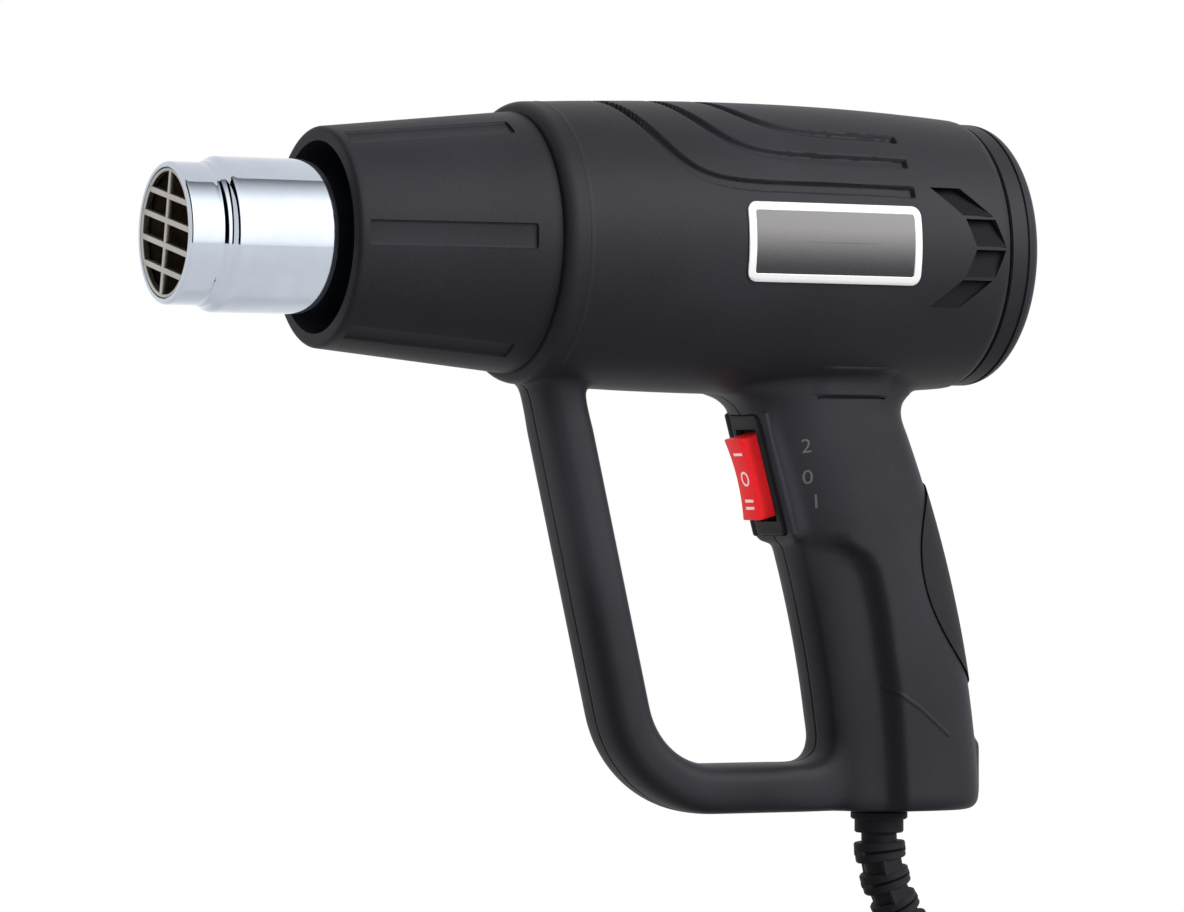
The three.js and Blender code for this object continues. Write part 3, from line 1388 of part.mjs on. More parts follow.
function plug(entry) {
  const group = new THREE.Group();
  group.position.copy(entry);
  group.rotation.z = radians(coilTailHeading);
  tool.add(group);
  const stations = [
    [fit, 2 * plugNeck, 2 * plugNeck, 2],
    [plugLength * 0.3, 2 * plugNeck + 2, 2 * plugNeck + 2, 2],
    [plugLength * 0.5, plugWidth - 3, plugThick, 3.5],
    [plugLength * 0.8, plugWidth, plugThick, 4],
    [plugLength, plugWidth - 1, plugThick - 1, 4],
  ];
  const body = loft(stations.map(([x, width, thick, squareness]) =>
    roundSection(new THREE.Vector3(x, 0, 0), up, thick, width, squareness, 20),
  ));
  piece("plug_body", body, rubberFinish(), group);
  [-1, 1].forEach((hand, i) => {
    const y = (hand * pinPitch) / 2;
    const x0 = plugLength + fit;
    const pin = box(x0, x0 + pinLength, y - pinThick / 2, y + pinThick / 2, -pinWidth / 2, pinWidth / 2);
    piece(`plug_pin_${i + 1}`, pin, brassFinish(), group);
  });
}

housingHalves();
gripPad();
piece("badge_plate", badgeOutline(0, -badgeSunk, badgeProud), finish(0x3b3b3f, 0.3));
switchPieces();
nozzleTube();
outletGrille();
frontSleeve();
rearCap();
heater();
airDuct();
motor();
rotor();
strainRelief();
handleFittings();
leads();
cord();

const gripMiddleZ = underside - gripMiddleDrop;
tool.position.set(-gripCentre(gripMiddleZ), 0, -gripMiddleZ);

export default part;
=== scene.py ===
import math

import bmesh
import bpy
from mathutils import Matrix, Vector
from mathutils.bvhtree import BVHTree


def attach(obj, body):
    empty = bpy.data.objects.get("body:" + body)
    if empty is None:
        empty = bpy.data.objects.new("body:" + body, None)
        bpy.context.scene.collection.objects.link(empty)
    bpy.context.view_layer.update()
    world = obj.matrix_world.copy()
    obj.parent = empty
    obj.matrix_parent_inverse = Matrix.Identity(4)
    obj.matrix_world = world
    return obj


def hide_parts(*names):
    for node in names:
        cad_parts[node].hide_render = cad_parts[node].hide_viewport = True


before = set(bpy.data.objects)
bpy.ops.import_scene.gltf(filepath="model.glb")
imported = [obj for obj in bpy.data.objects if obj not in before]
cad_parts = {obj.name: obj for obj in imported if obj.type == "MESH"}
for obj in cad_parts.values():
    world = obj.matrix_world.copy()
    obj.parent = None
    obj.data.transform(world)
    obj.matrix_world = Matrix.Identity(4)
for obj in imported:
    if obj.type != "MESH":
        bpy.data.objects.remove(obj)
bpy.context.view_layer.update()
scene = bpy.context.scene
scene.view_settings.view_transform = "Standard"

# Lengths are in mm: x runs back from the nozzle mouth, z up from the barrel axis, and y = 0 is
# where the housing halves meet. intoFrame puts such a point in the frame of the solids, in metres.
mm = 0.001
intoFrame = Matrix.Scale(mm, 4) @ Matrix.Translation((-191.54073, 0, 88.3))
radians = math.radians


def toFrame(x, y, z):
    return intoFrame @ Vector((x, y, z))


# Camera, as the photograph was taken
camera = {"aim": (113.26, 0, -51.9), "distance": 1300, "yaw": 26.4, "pitch": -0.6, "roll": 0.2,
          "focalPixels": 5289, "widthPixels": 1184, "sensor": 36}


def setCamera(c):
    yaw, pitch, roll = (radians(c[k]) for k in ("yaw", "pitch", "roll"))
    back = Vector((-math.sin(yaw) * math.cos(pitch), -math.cos(yaw) * math.cos(pitch), math.sin(pitch)))
    level = (-back).cross(Vector((0, 0, 1))).normalized()
    upright = level.cross(-back)
    right = level * math.cos(roll) + upright * math.sin(roll)
    up = upright * math.cos(roll) - level * math.sin(roll)
    data = bpy.data.cameras.new("photoCamera")
    data.sensor_fit = "HORIZONTAL"
    data.sensor_width = c["sensor"]
    data.lens = c["sensor"] * c["focalPixels"] / c["widthPixels"]
    data.clip_end = 50
    eye = bpy.data.objects.new("photoCamera", data)
    scene.collection.objects.link(eye)
    facing = Matrix((right, up, back)).transposed().to_4x4()
    eye.matrix_world = Matrix.Translation(toFrame(*c["aim"]) + back * c["distance"] * mm) @ facing
    scene.camera = eye


setCamera(camera)
print("camera set")


# Nodes and colours
def srgb(code):
    parts = [int(code[i:i + 2], 16) / 255 for i in (1, 3, 5)]
    return [p / 12.92 if p <= 0.04045 else ((p + 0.055) / 1.055) ** 2.4 for p in parts] + [1]


def addNode(tree, kind, settings, links=None):
    node = tree.nodes.new(kind)
    for key, value in settings.items():
        if isinstance(key, int) or key in node.inputs:
            node.inputs[key].default_value = value
        else:
            setattr(node, key, value)
    for key, socket in (links or {}).items():
        tree.links.new(socket, node.inputs[key])
    return node


def newTree(name):
    material = bpy.data.materials.new(name)
    material.use_nodes = True
    tree = material.node_tree
    tree.nodes.clear()
    return material, tree


def mathNode(tree, operation, first, second):
    links = {k: value for k, value in enumerate((first, second)) if not isinstance(value, float)}
    fixed = {k: value for k, value in enumerate((first, second)) if isinstance(value, float)}
    return addNode(tree, "ShaderNodeMath", {"operation": operation, **fixed}, links).outputs[0]


# Noise whose features have a real size in mm
def noise(tree, where, size, detail):
    settings = {"Scale": 1 / (size * mm), "Detail": detail}
    return addNode(tree, "ShaderNodeTexNoise", settings, {"Vector": where})


def blend(tree, factor, first, second):
    mix = addNode(tree, "ShaderNodeMix", {"data_type": "RGBA"}, {"Factor": factor})
    colourA, colourB, result = 6, 7, 2  # the node's sockets for colours
    mix.inputs[colourA].default_value = srgb(first)
    mix.inputs[colourB].default_value = srgb(second)
    return mix.outputs[result]


mottling = {"grainShare": 0.35, "darkAt": 0.45, "lightAt": 0.9, "broadDetail": 3.0, "fineDetail": 2.0}


# A surface whose colour, gloss and relief vary by a grain of a real size in mm. `fixed` goes on
# the shader's own sockets.
def surface(name, dark, light, rough, grain, relief, fixed, mottle=30):
    material, tree = newTree(name)
    where = addNode(tree, "ShaderNodeTexCoord", {}).outputs["Object"]
    broad = noise(tree, where, mottle, mottling["broadDetail"])
    fine = noise(tree, where, grain, mottling["fineDetail"])
    both = addNode(tree, "ShaderNodeMath", {"operation": "MULTIPLY_ADD", 1: mottling["grainShare"]},
                   {0: fine.outputs["Fac"], 2: broad.outputs["Fac"]})
    ends = {"From Min": mottling["darkAt"], "From Max": mottling["lightAt"]}
    spread = addNode(tree, "ShaderNodeMapRange", ends, {"Value": both.outputs[0]})
    colour = blend(tree, spread.outputs[0], dark, light)
    gloss = addNode(tree, "ShaderNodeMapRange", {"To Min": rough[0], "To Max": rough[1]},
                    {"Value": both.outputs[0]})
    bump = addNode(tree, "ShaderNodeBump", {"Strength": relief, "Distance": grain * mm},
                   {"Height": fine.outputs["Fac"]})
    shader = addNode(tree, "ShaderNodeBsdfPrincipled", fixed,
                     {"Base Color": colour, "Roughness": gloss.outputs[0], "Normal": bump.outputs[0]})
    addNode(tree, "ShaderNodeOutputMaterial", {}, {"Surface": shader.outputs[0]})
    return material


lowSheen = {"Specular IOR Level": 0.11}  # what a fine eroded texture leaves of the surface reflection
# Moulded ABS with a fine spark-eroded texture: charcoal, soft broad highlights
mouldedAbs = surface("mouldedAbs", "#242429", "#2c2c32", (0.4, 0.54), 0.5, 0.1, {"IOR": 1.5, **lowSheen})
# Glass-filled nylon of the heat sleeve: the same charcoal, a little drier
filledNylon = surface("filledNylon", "#25252a", "#2d2d33", (0.42, 0.56), 0.6, 0.12, {"IOR": 1.5, **lowSheen})
# Painted shade: nearly black plates laid on the vents' floors, standing for the shadow inside the pockets
paintedVentShade = surface("paintedVentShade", "#0c0c0e", "#141417", (0.6, 0.75), 0.5, 0.2, {"IOR": 1.5, **lowSheen})
# Overmoulded soft rubber: darker, with almost no highlight
softRubber = surface("softRubber", "#1d1d20", "#252529", (0.52, 0.68), 0.4, 0.12, {"IOR": 1.5, **lowSheen})
# Black switch plastic, eroded matt
switchNylon = surface("switchNylon", "#19191b", "#222225", (0.45, 0.6), 0.35, 0.1, {"IOR": 1.5, **lowSheen})
# Polished ABS of the rocker: signal red with a soft shine
rockerRed = surface("rockerRed", "#ec1d23", "#f8282e", (0.3, 0.42), 0.5, 0.03, {"IOR": 1.5, **lowSheen})
# Pad-printed ink on the rocker
paleInk = surface("paleInk", "#fde0e0", "#fff0f0", (0.5, 0.6), 0.3, 0.04, {"IOR": 1.45})
# The same ink in grey, rubbed thin, for the switch's numbers
greyInk = surface("greyInk", "#54524f", "#64625f", (0.5, 0.62), 0.5, 0.05, {"IOR": 1.45, **lowSheen})
# Printed white border of the badge
whiteInk = surface("whiteInk", "#f1f1f1", "#fbfbfb", (0.3, 0.42), 0.4, 0.02, {"IOR": 1.5})
# Chromed drawn tube: a clear mirror with faint drawing marks
brightChrome = surface("brightChrome", "#b9c1cd", "#c6cdd8", (0.03, 0.07), 4.0, 0.004, {"Metallic": 1.0})
# Stamped stainless of the grille: dull and a little warm
stampedSteel = surface("stampedSteel", "#a39f99", "#bdb9b2", (0.3, 0.45), 0.4, 0.06, {"Metallic": 1.0})
# Plated screws and the motor's can
platedSteel = surface("platedSteel", "#8f9093", "#aeb0b3", (0.25, 0.42), 0.5, 0.05, {"Metallic": 1.0})
# Heater wire, oxidised by use
heaterWire = surface("heaterWire", "#4a4440", "#6d655e", (0.45, 0.65), 0.5, 0.1, {"Metallic": 1.0})
# Mica sheet, browned by heat: flaky with a faint sheen
brownMica = surface("brownMica", "#2e2319", "#4a3a2a", (0.5, 0.75), 2.0, 0.25, {"IOR": 1.58}, 9)
copperWinding = surface("copperWinding", "#8c4a25", "#b86a3a", (0.3, 0.5), 0.6, 0.3, {"Metallic": 1.0})
plainBrass = surface("plainBrass", "#a88440", "#c9a85a", (0.22, 0.38), 0.6, 0.05, {"Metallic": 1.0})
ferrite = surface("ferrite", "#2b2b2d", "#3b3b3e", (0.6, 0.8), 0.5, 0.15, {"IOR": 1.6})
creamNylon = surface("creamNylon", "#d6d1c4", "#e7e3d8", (0.45, 0.6), 0.5, 0.06, {"IOR": 1.52})
boardLaminate = surface("boardLaminate", "#234a2e", "#2f5f3b", (0.35, 0.5), 0.4, 0.06, {"IOR": 1.55})
capacitorEpoxy = surface("capacitorEpoxy", "#c99b2c", "#dcb146", (0.3, 0.45), 0.8, 0.05, {"IOR": 1.55})
leadBrown = surface("leadBrown", "#5f3b22", "#704829", (0.4, 0.55), 0.4, 0.05, {"IOR": 1.5})
leadBlue = surface("leadBlue", "#274577", "#315289", (0.4, 0.55), 0.4, 0.05, {"IOR": 1.5})
leadRed = surface("leadRed", "#7d2626", "#933030", (0.4, 0.55), 0.4, 0.05, {"IOR": 1.5})
# PVC cord sheath: black with a low sheen
cordPvc = surface("cordPvc", "#1c1c1e", "#252528", (0.42, 0.56), 0.5, 0.06, {"IOR": 1.53, **lowSheen})
print("materials mixed")


sameSpot = 1e-4  # mm, vertices nearer than this are one
crispEdge, softEdge = 30, 40  # degrees, an edge that turns by more stays sharp


# Meshes: a bmesh in mm becomes a piece in the frame, at the origin and unturned
def link(name, bm, material, smoothAngle, keepMm=False):
    if not keepMm:
        bmesh.ops.transform(bm, matrix=intoFrame, verts=bm.verts)
    mesh = bpy.data.meshes.new(name)
    bm.to_mesh(mesh)
    bm.free()
    obj = bpy.data.objects.new(name, mesh)
    scene.collection.objects.link(obj)
    if material:
        mesh.materials.append(material)
    mesh.polygons.foreach_set("use_smooth", [True] * len(mesh.polygons))
    if smoothAngle:
        mesh.set_sharp_from_angle(angle=radians(smoothAngle))
    return obj


# A mesh in mm that cuts others
def tool(bm):
    return link("tool", bm, None, 0, keepMm=True)


# The mesh of an object in mm, which is then gone
def meshOf(obj):
    bm = bmesh.new()
    bm.from_mesh(obj.data)
    bpy.data.objects.remove(obj)
    return bm


def settle(obj):
    graph = bpy.context.evaluated_depsgraph_get()
    done = bpy.data.meshes.new_from_object(obj.evaluated_get(graph))
    old = obj.data
    obj.modifiers.clear()
    obj.data = done
    bpy.data.meshes.remove(old)


def carve(obj, tool, operation="DIFFERENCE"):
    cut = obj.modifiers.new("carve", "BOOLEAN")
    cut.operation = operation
    cut.solver = "MANIFOLD"
    cut.object = tool
    settle(obj)
    bpy.data.objects.remove(tool)


def outwards(bm):
    bmesh.ops.recalc_face_normals(bm, faces=bm.faces)


def bevel(bm, edges, offset, segments):
    bmesh.ops.bevel(bm, geom=edges, offset=offset, affect="EDGES", segments=segments, profile=0.5,
                    material=-1)


def turn(bm, degrees, axis):
    bmesh.ops.rotate(bm, cent=(0, 0, 0), matrix=Matrix.Rotation(radians(degrees), 3, axis), verts=bm.verts)


def onlyVerts(geom):
    return [g for g in geom if isinstance(g, bmesh.types.BMVert)]


def edgesAlong(bm, axis, shortest):
    return [e for e in bm.edges if abs((e.verts[0].co - e.verts[1].co)[axis]) > shortest]


def smooth(bm, verts, passes):
    for _ in range(passes):
        bmesh.ops.smooth_vert(bm, verts=verts, factor=0.5, use_axis_x=True, use_axis_y=True, use_axis_z=True)


def spun(outline, steps):
    bm = bmesh.new()
    points = [bm.verts.new((x, 0, r)) for x, r in outline]
    edges = [bm.edges.new(pair) for pair in zip(points, points[1:])]
    if outline[0][1] > 0 or outline[-1][1] > 0:
        edges.append(bm.edges.new((points[-1], points[0])))
    bmesh.ops.spin(bm, geom=points + edges, cent=(0, 0, 0), axis=(1, 0, 0), angle=2 * math.pi, steps=steps,
                   use_merge=True)
    bmesh.ops.remove_doubles(bm, verts=bm.verts, dist=sameSpot)
    outwards(bm)
    return bm


# A cap is pushed from section to section; each section gives a point for an angle.
def lofted(sections, sides):
    bm = bmesh.new()
    angle = bm.verts.layers.float.new("angle")
    bmesh.ops.create_circle(bm, cap_ends=True, segments=sides, radius=1)
    for vert in bm.verts:
        vert[angle] = math.atan2(vert.co.y, vert.co.x)
        vert.co = sections[0](vert[angle])
    bm.faces.ensure_lookup_table()
    first = cap = bm.faces[0]
    for section in sections[1:]:
        left = cap
        made = bmesh.ops.extrude_face_region(bm, geom=[cap])["geom"]
        cap = next(g for g in made if isinstance(g, bmesh.types.BMFace))
        for vert in cap.verts:
            vert.co = section(vert[angle])
        if left is not first:
            bm.faces.remove(left)
    outwards(bm)
    return bm


def block(x0, x1, y0, y1, z0, z1, edge=0.0, segments=2):
    bm = bmesh.new()
    bmesh.ops.create_cube(bm, size=1)
    bmesh.ops.scale(bm, vec=(x1 - x0, y1 - y0, z1 - z0), verts=bm.verts)
    bmesh.ops.translate(bm, vec=((x0 + x1) / 2, (y0 + y1) / 2, (z0 + z1) / 2), verts=bm.verts)
    if edge:
        bevel(bm, bm.edges[:], edge, segments)
    return bm


def unitBlock():
    return block(-0.5, 0.5, -0.5, 0.5, -0.5, 0.5)


rodSides = 32


def rod(radius, depth):
    bm = bmesh.new()
    bmesh.ops.create_cone(bm, cap_ends=True, segments=rodSides, radius1=radius, radius2=radius, depth=depth)
    return bm


def join(bm, other):
    mesh = bpy.data.meshes.new("joining")
    other.to_mesh(mesh)
    other.free()
    bm.from_mesh(mesh)
    bpy.data.meshes.remove(mesh)
    return bm


def arc(x, r, radius, first, last, count):
    turns = [radians(first + (last - first) * i / count) for i in range(count + 1)]
    return [(x + radius * math.cos(t), r + radius * math.sin(t)) for t in turns]


def steps(first, last, count):
    return [first + (last - first) * i / count for i in range(count + 1)]


def smoothstep(value):
    t = min(max(value, 0), 1)
    return t * t * (3 - 2 * t)


# A rounded outline between an ellipse (square = 2) and a rectangle: its half sizes at an angle
def superOval(angle, square):
    c, s = math.cos(angle), math.sin(angle)
    return math.copysign(abs(c) ** (2 / square), c), math.copysign(abs(s) ** (2 / square), s)


across = Vector((0, 1, 0))


# Cord: strain relief, drop, coil put away under the handle, and plug. The route repeats the solids'.
relief = {"x": 194.5, "top": -140.8, "straight": 5.4, "bend": 38, "inside": -3.2, "sides": 40, "over": 0.3,
          "neck": 4.5, "neckEnd": 0.4, "neckEdge": 0.1, "collar": 6.2, "collarEdge": 0.35,
          "flange": 7.2, "flangeThick": 2, "flangeEdge": 0.4,
          "ribs": 11, "rib": 2, "gap": 1.7, "ribRadius": 6.5, "ribEdge": 0.3, "taper": 1.2, "pair": 0.6,
          "webDrop": 0.35, "webWide": 1.15, "webOver": 0.8}
cord = {"radius": 3.5, "drop": [(228.6, 0.3, -188.6), (239, 7.4, -193.8), (246, 22, -196)], "heading": 75,
        "tailHeading": 270, "loops": 5, "layers": 4, "pitch": 7.5, "inner": 33.2, "tail": 18, "loopSteps": 44,
        "length": 1.42, "gap": 0.3, "hidden": 4, "dropSteps": 6, "tailSteps": 5}
tie = {"thick": 1.2, "width": 9, "angle": 5, "square": (2 / 0.3, 10), "sides": 64}
plug = {"length": 33, "thick": 18, "neck": 10, "start": 0.3, "sides": 48,
        "ribs": 5, "ribStart": 1, "ribPitch": 2.1, "ribLength": 1.2, "ribGrowth": (0.4, 0.3),
        "groove": 2, "grooveRun": (1.3, 1.9),
        "body": [(0.36, 13, 12, 2.2), (0.44, 17, 14.5, 2.6), (0.54, 22.5, 17.4, 3.2), (0.8, 25, 18, 4),
                 (0.95, 24.7, 17.7, 4), (0.985, 24, 17, 4), (1, 22.6, 15.6, 4)]}


def reliefAt(s):
    bend = max(s - relief["straight"], 0) / relief["bend"]
    straight = min(s, relief["straight"])
    point = Vector((relief["x"] + relief["bend"] * (1 - math.cos(bend)), 0,
                    relief["top"] - straight - relief["bend"] * math.sin(bend)))
    out, along = Vector((math.cos(bend), 0, math.sin(bend))), Vector((math.sin(bend), 0, -math.cos(bend)))
    return point, out, along


def heading(degrees):
    return Vector((math.cos(radians(degrees)), math.sin(radians(degrees)), 0))


reliefEnd = relief["straight"] + relief["ribs"] * (relief["rib"] + relief["gap"])
coilTurn = radians(cord["loops"] * 360 + cord["tailHeading"] - cord["heading"])
coilOuter = cord["inner"] + cord["pitch"] * coilTurn / (2 * math.pi * cord["layers"])
dropEnd = Vector(cord["drop"][-1])
coilEntry = dropEnd + heading(cord["heading"]) * (2 * cord["radius"] + cord["gap"])
coilCentre = coilEntry + heading(cord["heading"] + 90) * coilOuter
coilFloor = coilCentre.z - (cord["layers"] - 1) * cord["pitch"]
surfaceZ = coilFloor - cord["radius"] - cord["gap"] - tie["thick"]


# A smooth curve through the points, with a number of steps from each to the next
def spline(points, count):
    ends = [points[0] * 2 - points[1]] + points + [points[-1] * 2 - points[-2]]
    out = []
    for a, b, c, d in zip(ends, ends[1:], ends[2:], ends[3:]):
        for i in range(count):
            t = i / count
            out.append(0.5 * (2 * b + (c - a) * t + (2 * a - 5 * b + 4 * c - d) * t ** 2
                              + (3 * b - a - 3 * c + d) * t ** 3))
    return out + [points[-1]]


def coilPoints():
    count = round(cord["loopSteps"] * coilTurn / (2 * math.pi))
    points = []
    for i in range(count + 1):
        turned = coilTurn * i / count
        layer = cord["layers"] * i / count
        inwards = 1 - abs(1 - layer % 2)
        radius = coilOuter - (coilOuter - cord["inner"]) * inwards
        z = coilCentre.z
        for k in range(1, cord["layers"]):
            reversal = coilTurn * k / cord["layers"]
            z -= cord["pitch"] * smoothstep((turned - reversal) / math.pi + 0.5)
        angle = radians(cord["heading"] - 90) + turned
        x, y = coilCentre.x + math.cos(angle) * radius, coilCentre.y + math.sin(angle) * radius
        points.append(Vector((x, y, z)))
    return points


def cordRoute():
    start = [reliefAt(reliefEnd - cord["hidden"])[0], reliefAt(reliefEnd)[0]]
    coil = coilPoints()
    drop = spline(start + [Vector(p) for p in cord["drop"]] + coil[:1], cord["dropSteps"])
    out = heading(cord["tailHeading"])
    tailStart = coil[-1] + out * (2 * cord["radius"] + cord["gap"])
    entry = tailStart + out * cord["tail"]
    entry.z = surfaceZ + plug["thick"] / 2
    # The tail rises to the plug in two even bends, so that neither is tight
    tail = []
    for t in steps(0, 1, 4):
        point = coil[-1].lerp(entry, t)
        share = 2 * t * t if t < 0.5 else 1 - 2 * (1 - t) ** 2
        point.z = coil[-1].z + (entry.z - coil[-1].z) * share
        tail.append(point)
    return drop[:-1] + coil[:-1] + spline(tail + [entry + out * cord["hidden"]], cord["tailSteps"]), entry


cordPoints, plugEntry = cordRoute()


def makeCord():
    data = bpy.data.curves.new("mainsCord", "CURVE")
    data.dimensions = "3D"
    data.bevel_depth = cord["radius"] * mm
    data.bevel_resolution = 5
    data.use_fill_caps = True
    line = data.splines.new("POLY")
    line.points.add(len(cordPoints) - 1)
    for knot, point in zip(line.points, cordPoints):
        knot.co = (*toFrame(*point), 1)
    obj = bpy.data.objects.new("mainsCord", data)
    scene.collection.objects.link(obj)
    data.materials.append(cordPvc)
    return obj


def makePlug():
    p = plug

    def section(x, width, thick, square):
        def point(angle):
            y, z = superOval(angle, square)
            return Vector((x, y * width / 2, z * thick / 2))
        return point

    stations = [(p["start"], p["neck"], p["neck"], 2)]
    for i in range(p["ribs"]):  # grooved neck that bends with the cord
        x = p["ribStart"] + i * p["ribPitch"]
        rib = [p["neck"] + growth * i for growth in p["ribGrowth"]]
        low = p["neck"] - p["groove"]
        stations += [(x, *rib, 2), (x + p["ribLength"], *rib, 2)]
        stations += [(x + run, low, low, 2) for run in p["grooveRun"]]
    stations += [(share * p["length"], *shape) for share, *shape in p["body"]]
    bm = lofted([section(*s) for s in stations], p["sides"])
    where = Matrix.Translation(plugEntry) @ Matrix.Rotation(radians(cord["tailHeading"]), 4, "Z")
    bmesh.ops.transform(bm, matrix=where, verts=bm.verts)
    return link("plugBody", bm, cordPvc, softEdge)


def makeTie():
    sag = tie["width"] ** 2 / (8 * cord["inner"])
    half = (coilOuter - cord["inner"]) / 2 + cord["radius"] + cord["gap"] + sag
    tall = (cord["layers"] - 1) * cord["pitch"] / 2 + cord["radius"] + cord["gap"]
    bm = bmesh.new()
    bmesh.ops.create_circle(bm, segments=tie["sides"], radius=1)
    for vert in bm.verts:
        angle = math.atan2(vert.co.y, vert.co.x)
        x, z = superOval(angle, tie["square"][0])[0], superOval(angle, tie["square"][1])[1]
        vert.co = Vector((x * half, 0, z * tall))
    made = bmesh.ops.extrude_edge_only(bm, edges=bm.edges[:])["geom"]
    bmesh.ops.translate(bm, vec=(0, tie["width"], 0), verts=onlyVerts(made))
    outwards(bm)
    bmesh.ops.solidify(bm, geom=bm.faces[:], thickness=-tie["thick"])
    outwards(bm)
    middle = Vector(((coilOuter + cord["inner"]) / 2, -tie["width"] / 2, (coilFloor - coilCentre.z) / 2))
    where = Matrix.Translation(coilCentre) @ Matrix.Rotation(radians(tie["angle"]), 4, "Z")
    bmesh.ops.transform(bm, matrix=where @ Matrix.Translation(middle), verts=bm.verts)
    return link("cordTie", bm, switchNylon, softEdge)


mainsCord = makeCord()
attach(mainsCord, "housing")
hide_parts("cord_drop", "cord_coil", "cord_tail")
plugBody = makePlug()
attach(plugBody, "housing")
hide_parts("plug_body")
cordTie = makeTie()
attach(cordTie, "housing")
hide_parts("cord_tie")
toFrame(*reliefAt(reliefEnd)[0])
print("cord laid")


def reliefRing(s, radius):
    point, out, _ = reliefAt(s)
    return lambda angle: point + out * radius * math.cos(angle) + across * radius * math.sin(angle)


def reliefDisc(s0, s1, radius, edge):
    rings = [(s0, radius - edge), (s0 + edge, radius), (s1 - edge, radius), (s1, radius - edge)]
    return lofted([reliefRing(*ring) for ring in rings], relief["sides"])


# A block from the neck out to just below the rib, on one side of it
def reliefWeb(s, length, ribRadius, sideways, hand):
    r = relief
    point, out, along = reliefAt(s)
    reachWay, wideWay = (across, out) if sideways else (out, across)
    reach = ribRadius - r["webDrop"] - r["neck"] / 2
    size = Matrix((reachWay * reach, wideWay * r["webWide"] * r["neck"], along * (length + r["webOver"])))
    where = Matrix.Translation(point + reachWay * hand * (r["neck"] / 2 + reach / 2))
    web = unitBlock()
    bmesh.ops.transform(web, matrix=where @ size.transposed().to_4x4(), verts=web.verts)
    outwards(web)
    return web


# Strain relief: rings joined by webs that change sides from gap to gap
def makeRelief():
    r = relief
    bm = reliefDisc(r["inside"], r["neckEnd"], r["neck"], r["neckEdge"])
    join(bm, reliefDisc(0, r["flangeThick"], r["flange"], r["flangeEdge"]))
    join(bm, reliefDisc(r["flangeThick"] - r["over"], r["straight"], r["collar"], r["collarEdge"]))
    neck = [reliefRing(s, r["neck"]) for s in steps(r["straight"] - r["over"], reliefEnd, 24)]
    join(bm, lofted(neck, r["sides"]))
    for i in range(r["ribs"]):
        drawn = r["pair"] if i % 2 == 0 else -r["pair"]  # ribs stand in pairs
        s0 = r["straight"] + r["gap"] + i * (r["rib"] + r["gap"]) + drawn
        radius = r["ribRadius"] - r["taper"] * i / r["ribs"]
        join(bm, reliefDisc(s0, s0 + r["rib"], radius, r["ribEdge"]))
        gap = r["gap"] + 2 * drawn
        for hand in (-1, 1) if i else ():
            join(bm, reliefWeb(s0 - gap / 2, gap, radius, i % 2 == 0, hand))
    return link("strainRelief", bm, softRubber, crispEdge)


strainRelief = makeRelief()
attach(strainRelief, "housing")
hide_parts("strain_relief")
print("strain relief made")


# Housing: barrel, grip, guard and switch block are grown into one skin, then parted
barrel = {"front": 90, "rear": 213, "radius": 36.3, "frontRadius": 34.3, "rearRadius": 34, "crown": 156,
          "shoulder": 3.4, "rise": 1.9, "rearEdge": 0.8, "wall": 2.6, "lip": 28.8, "lipThick": 3.5,
          "sides": 180, "hollowSides": 96}
grip = {"top": -44, "base": -140.5, "topX": 177, "bowX": 196.9, "baseX": 199.1, "depth": 42.4, "width": 32,
        "square": 2.7, "sunk": 9, "fillet": 6, "edge": 3.5, "sides": 72}
guard = {"topX": 102.3, "rake": 13, "thick": 12.5, "width": 20, "square": 3.2, "corner": 25, "barFillet": 7,
         "sides": 48}
# The switch's block and the seats of its bezel and case: length, width, corner and depths along x
switch = {"x": 160, "z": -56.2, "rake": 15.5, "block": (36, 22, 3, 0, 21),
          "bezelSeat": (31.6, 14.6, 1.5, -12, 1.3), "caseSeat": (27.6, 12.4, 1.5, 0, 17.3)}
underside = -barrel["radius"]
farOff = 99  # a distance at which no fillet or groove reaches
around = {"x": (0, 240), "y": 80, "z": (-200, 80)}  # a box round all of the housing


def barrelRadius(x):
    ahead = x < barrel["crown"]
    span = barrel["crown"] - barrel["front"] if ahead else barrel["rear"] - barrel["crown"]
    end = barrel["frontRadius"] if ahead else barrel["rearRadius"]
    return barrel["radius"] - (barrel["radius"] - end) * ((x - barrel["crown"]) / span) ** 2


def gripCentre(z):
    t = (grip["top"] - z) / (grip["top"] - grip["base"])
    return (1 - t) ** 2 * grip["topX"] + 2 * t * (1 - t) * grip["bowX"] + t ** 2 * grip["baseX"]


def flare(radius, distance):
    d = min(max(distance, 0), radius)
    return radius - math.sqrt(radius ** 2 - (radius - d) ** 2)


def oval(centre, normal, thick, width, square):
    def point(angle):
        c, s = superOval(angle, square)
        return centre + normal * c * thick / 2 + Vector((0, s * width / 2, 0))
    return point


def barrelSolid():
    b = barrel
    shoulder = []
    for angle in steps(0, 90, 8):
        x = b["front"] + b["shoulder"] * (1 - math.cos(radians(angle)))
        r = barrelRadius(b["front"] + b["shoulder"]) - b["rise"] * (1 - math.sin(radians(angle)))
        shoulder.append((x, r))
    crown = steps(b["front"] + b["shoulder"], b["rear"] - b["rearEdge"], 60)[1:]
    return spun([(b["front"], 0)] + shoulder + [(x, barrelRadius(x)) for x in crown]
                + [(b["rear"], b["rearRadius"] - b["rearEdge"]), (b["rear"], 0)], b["sides"])


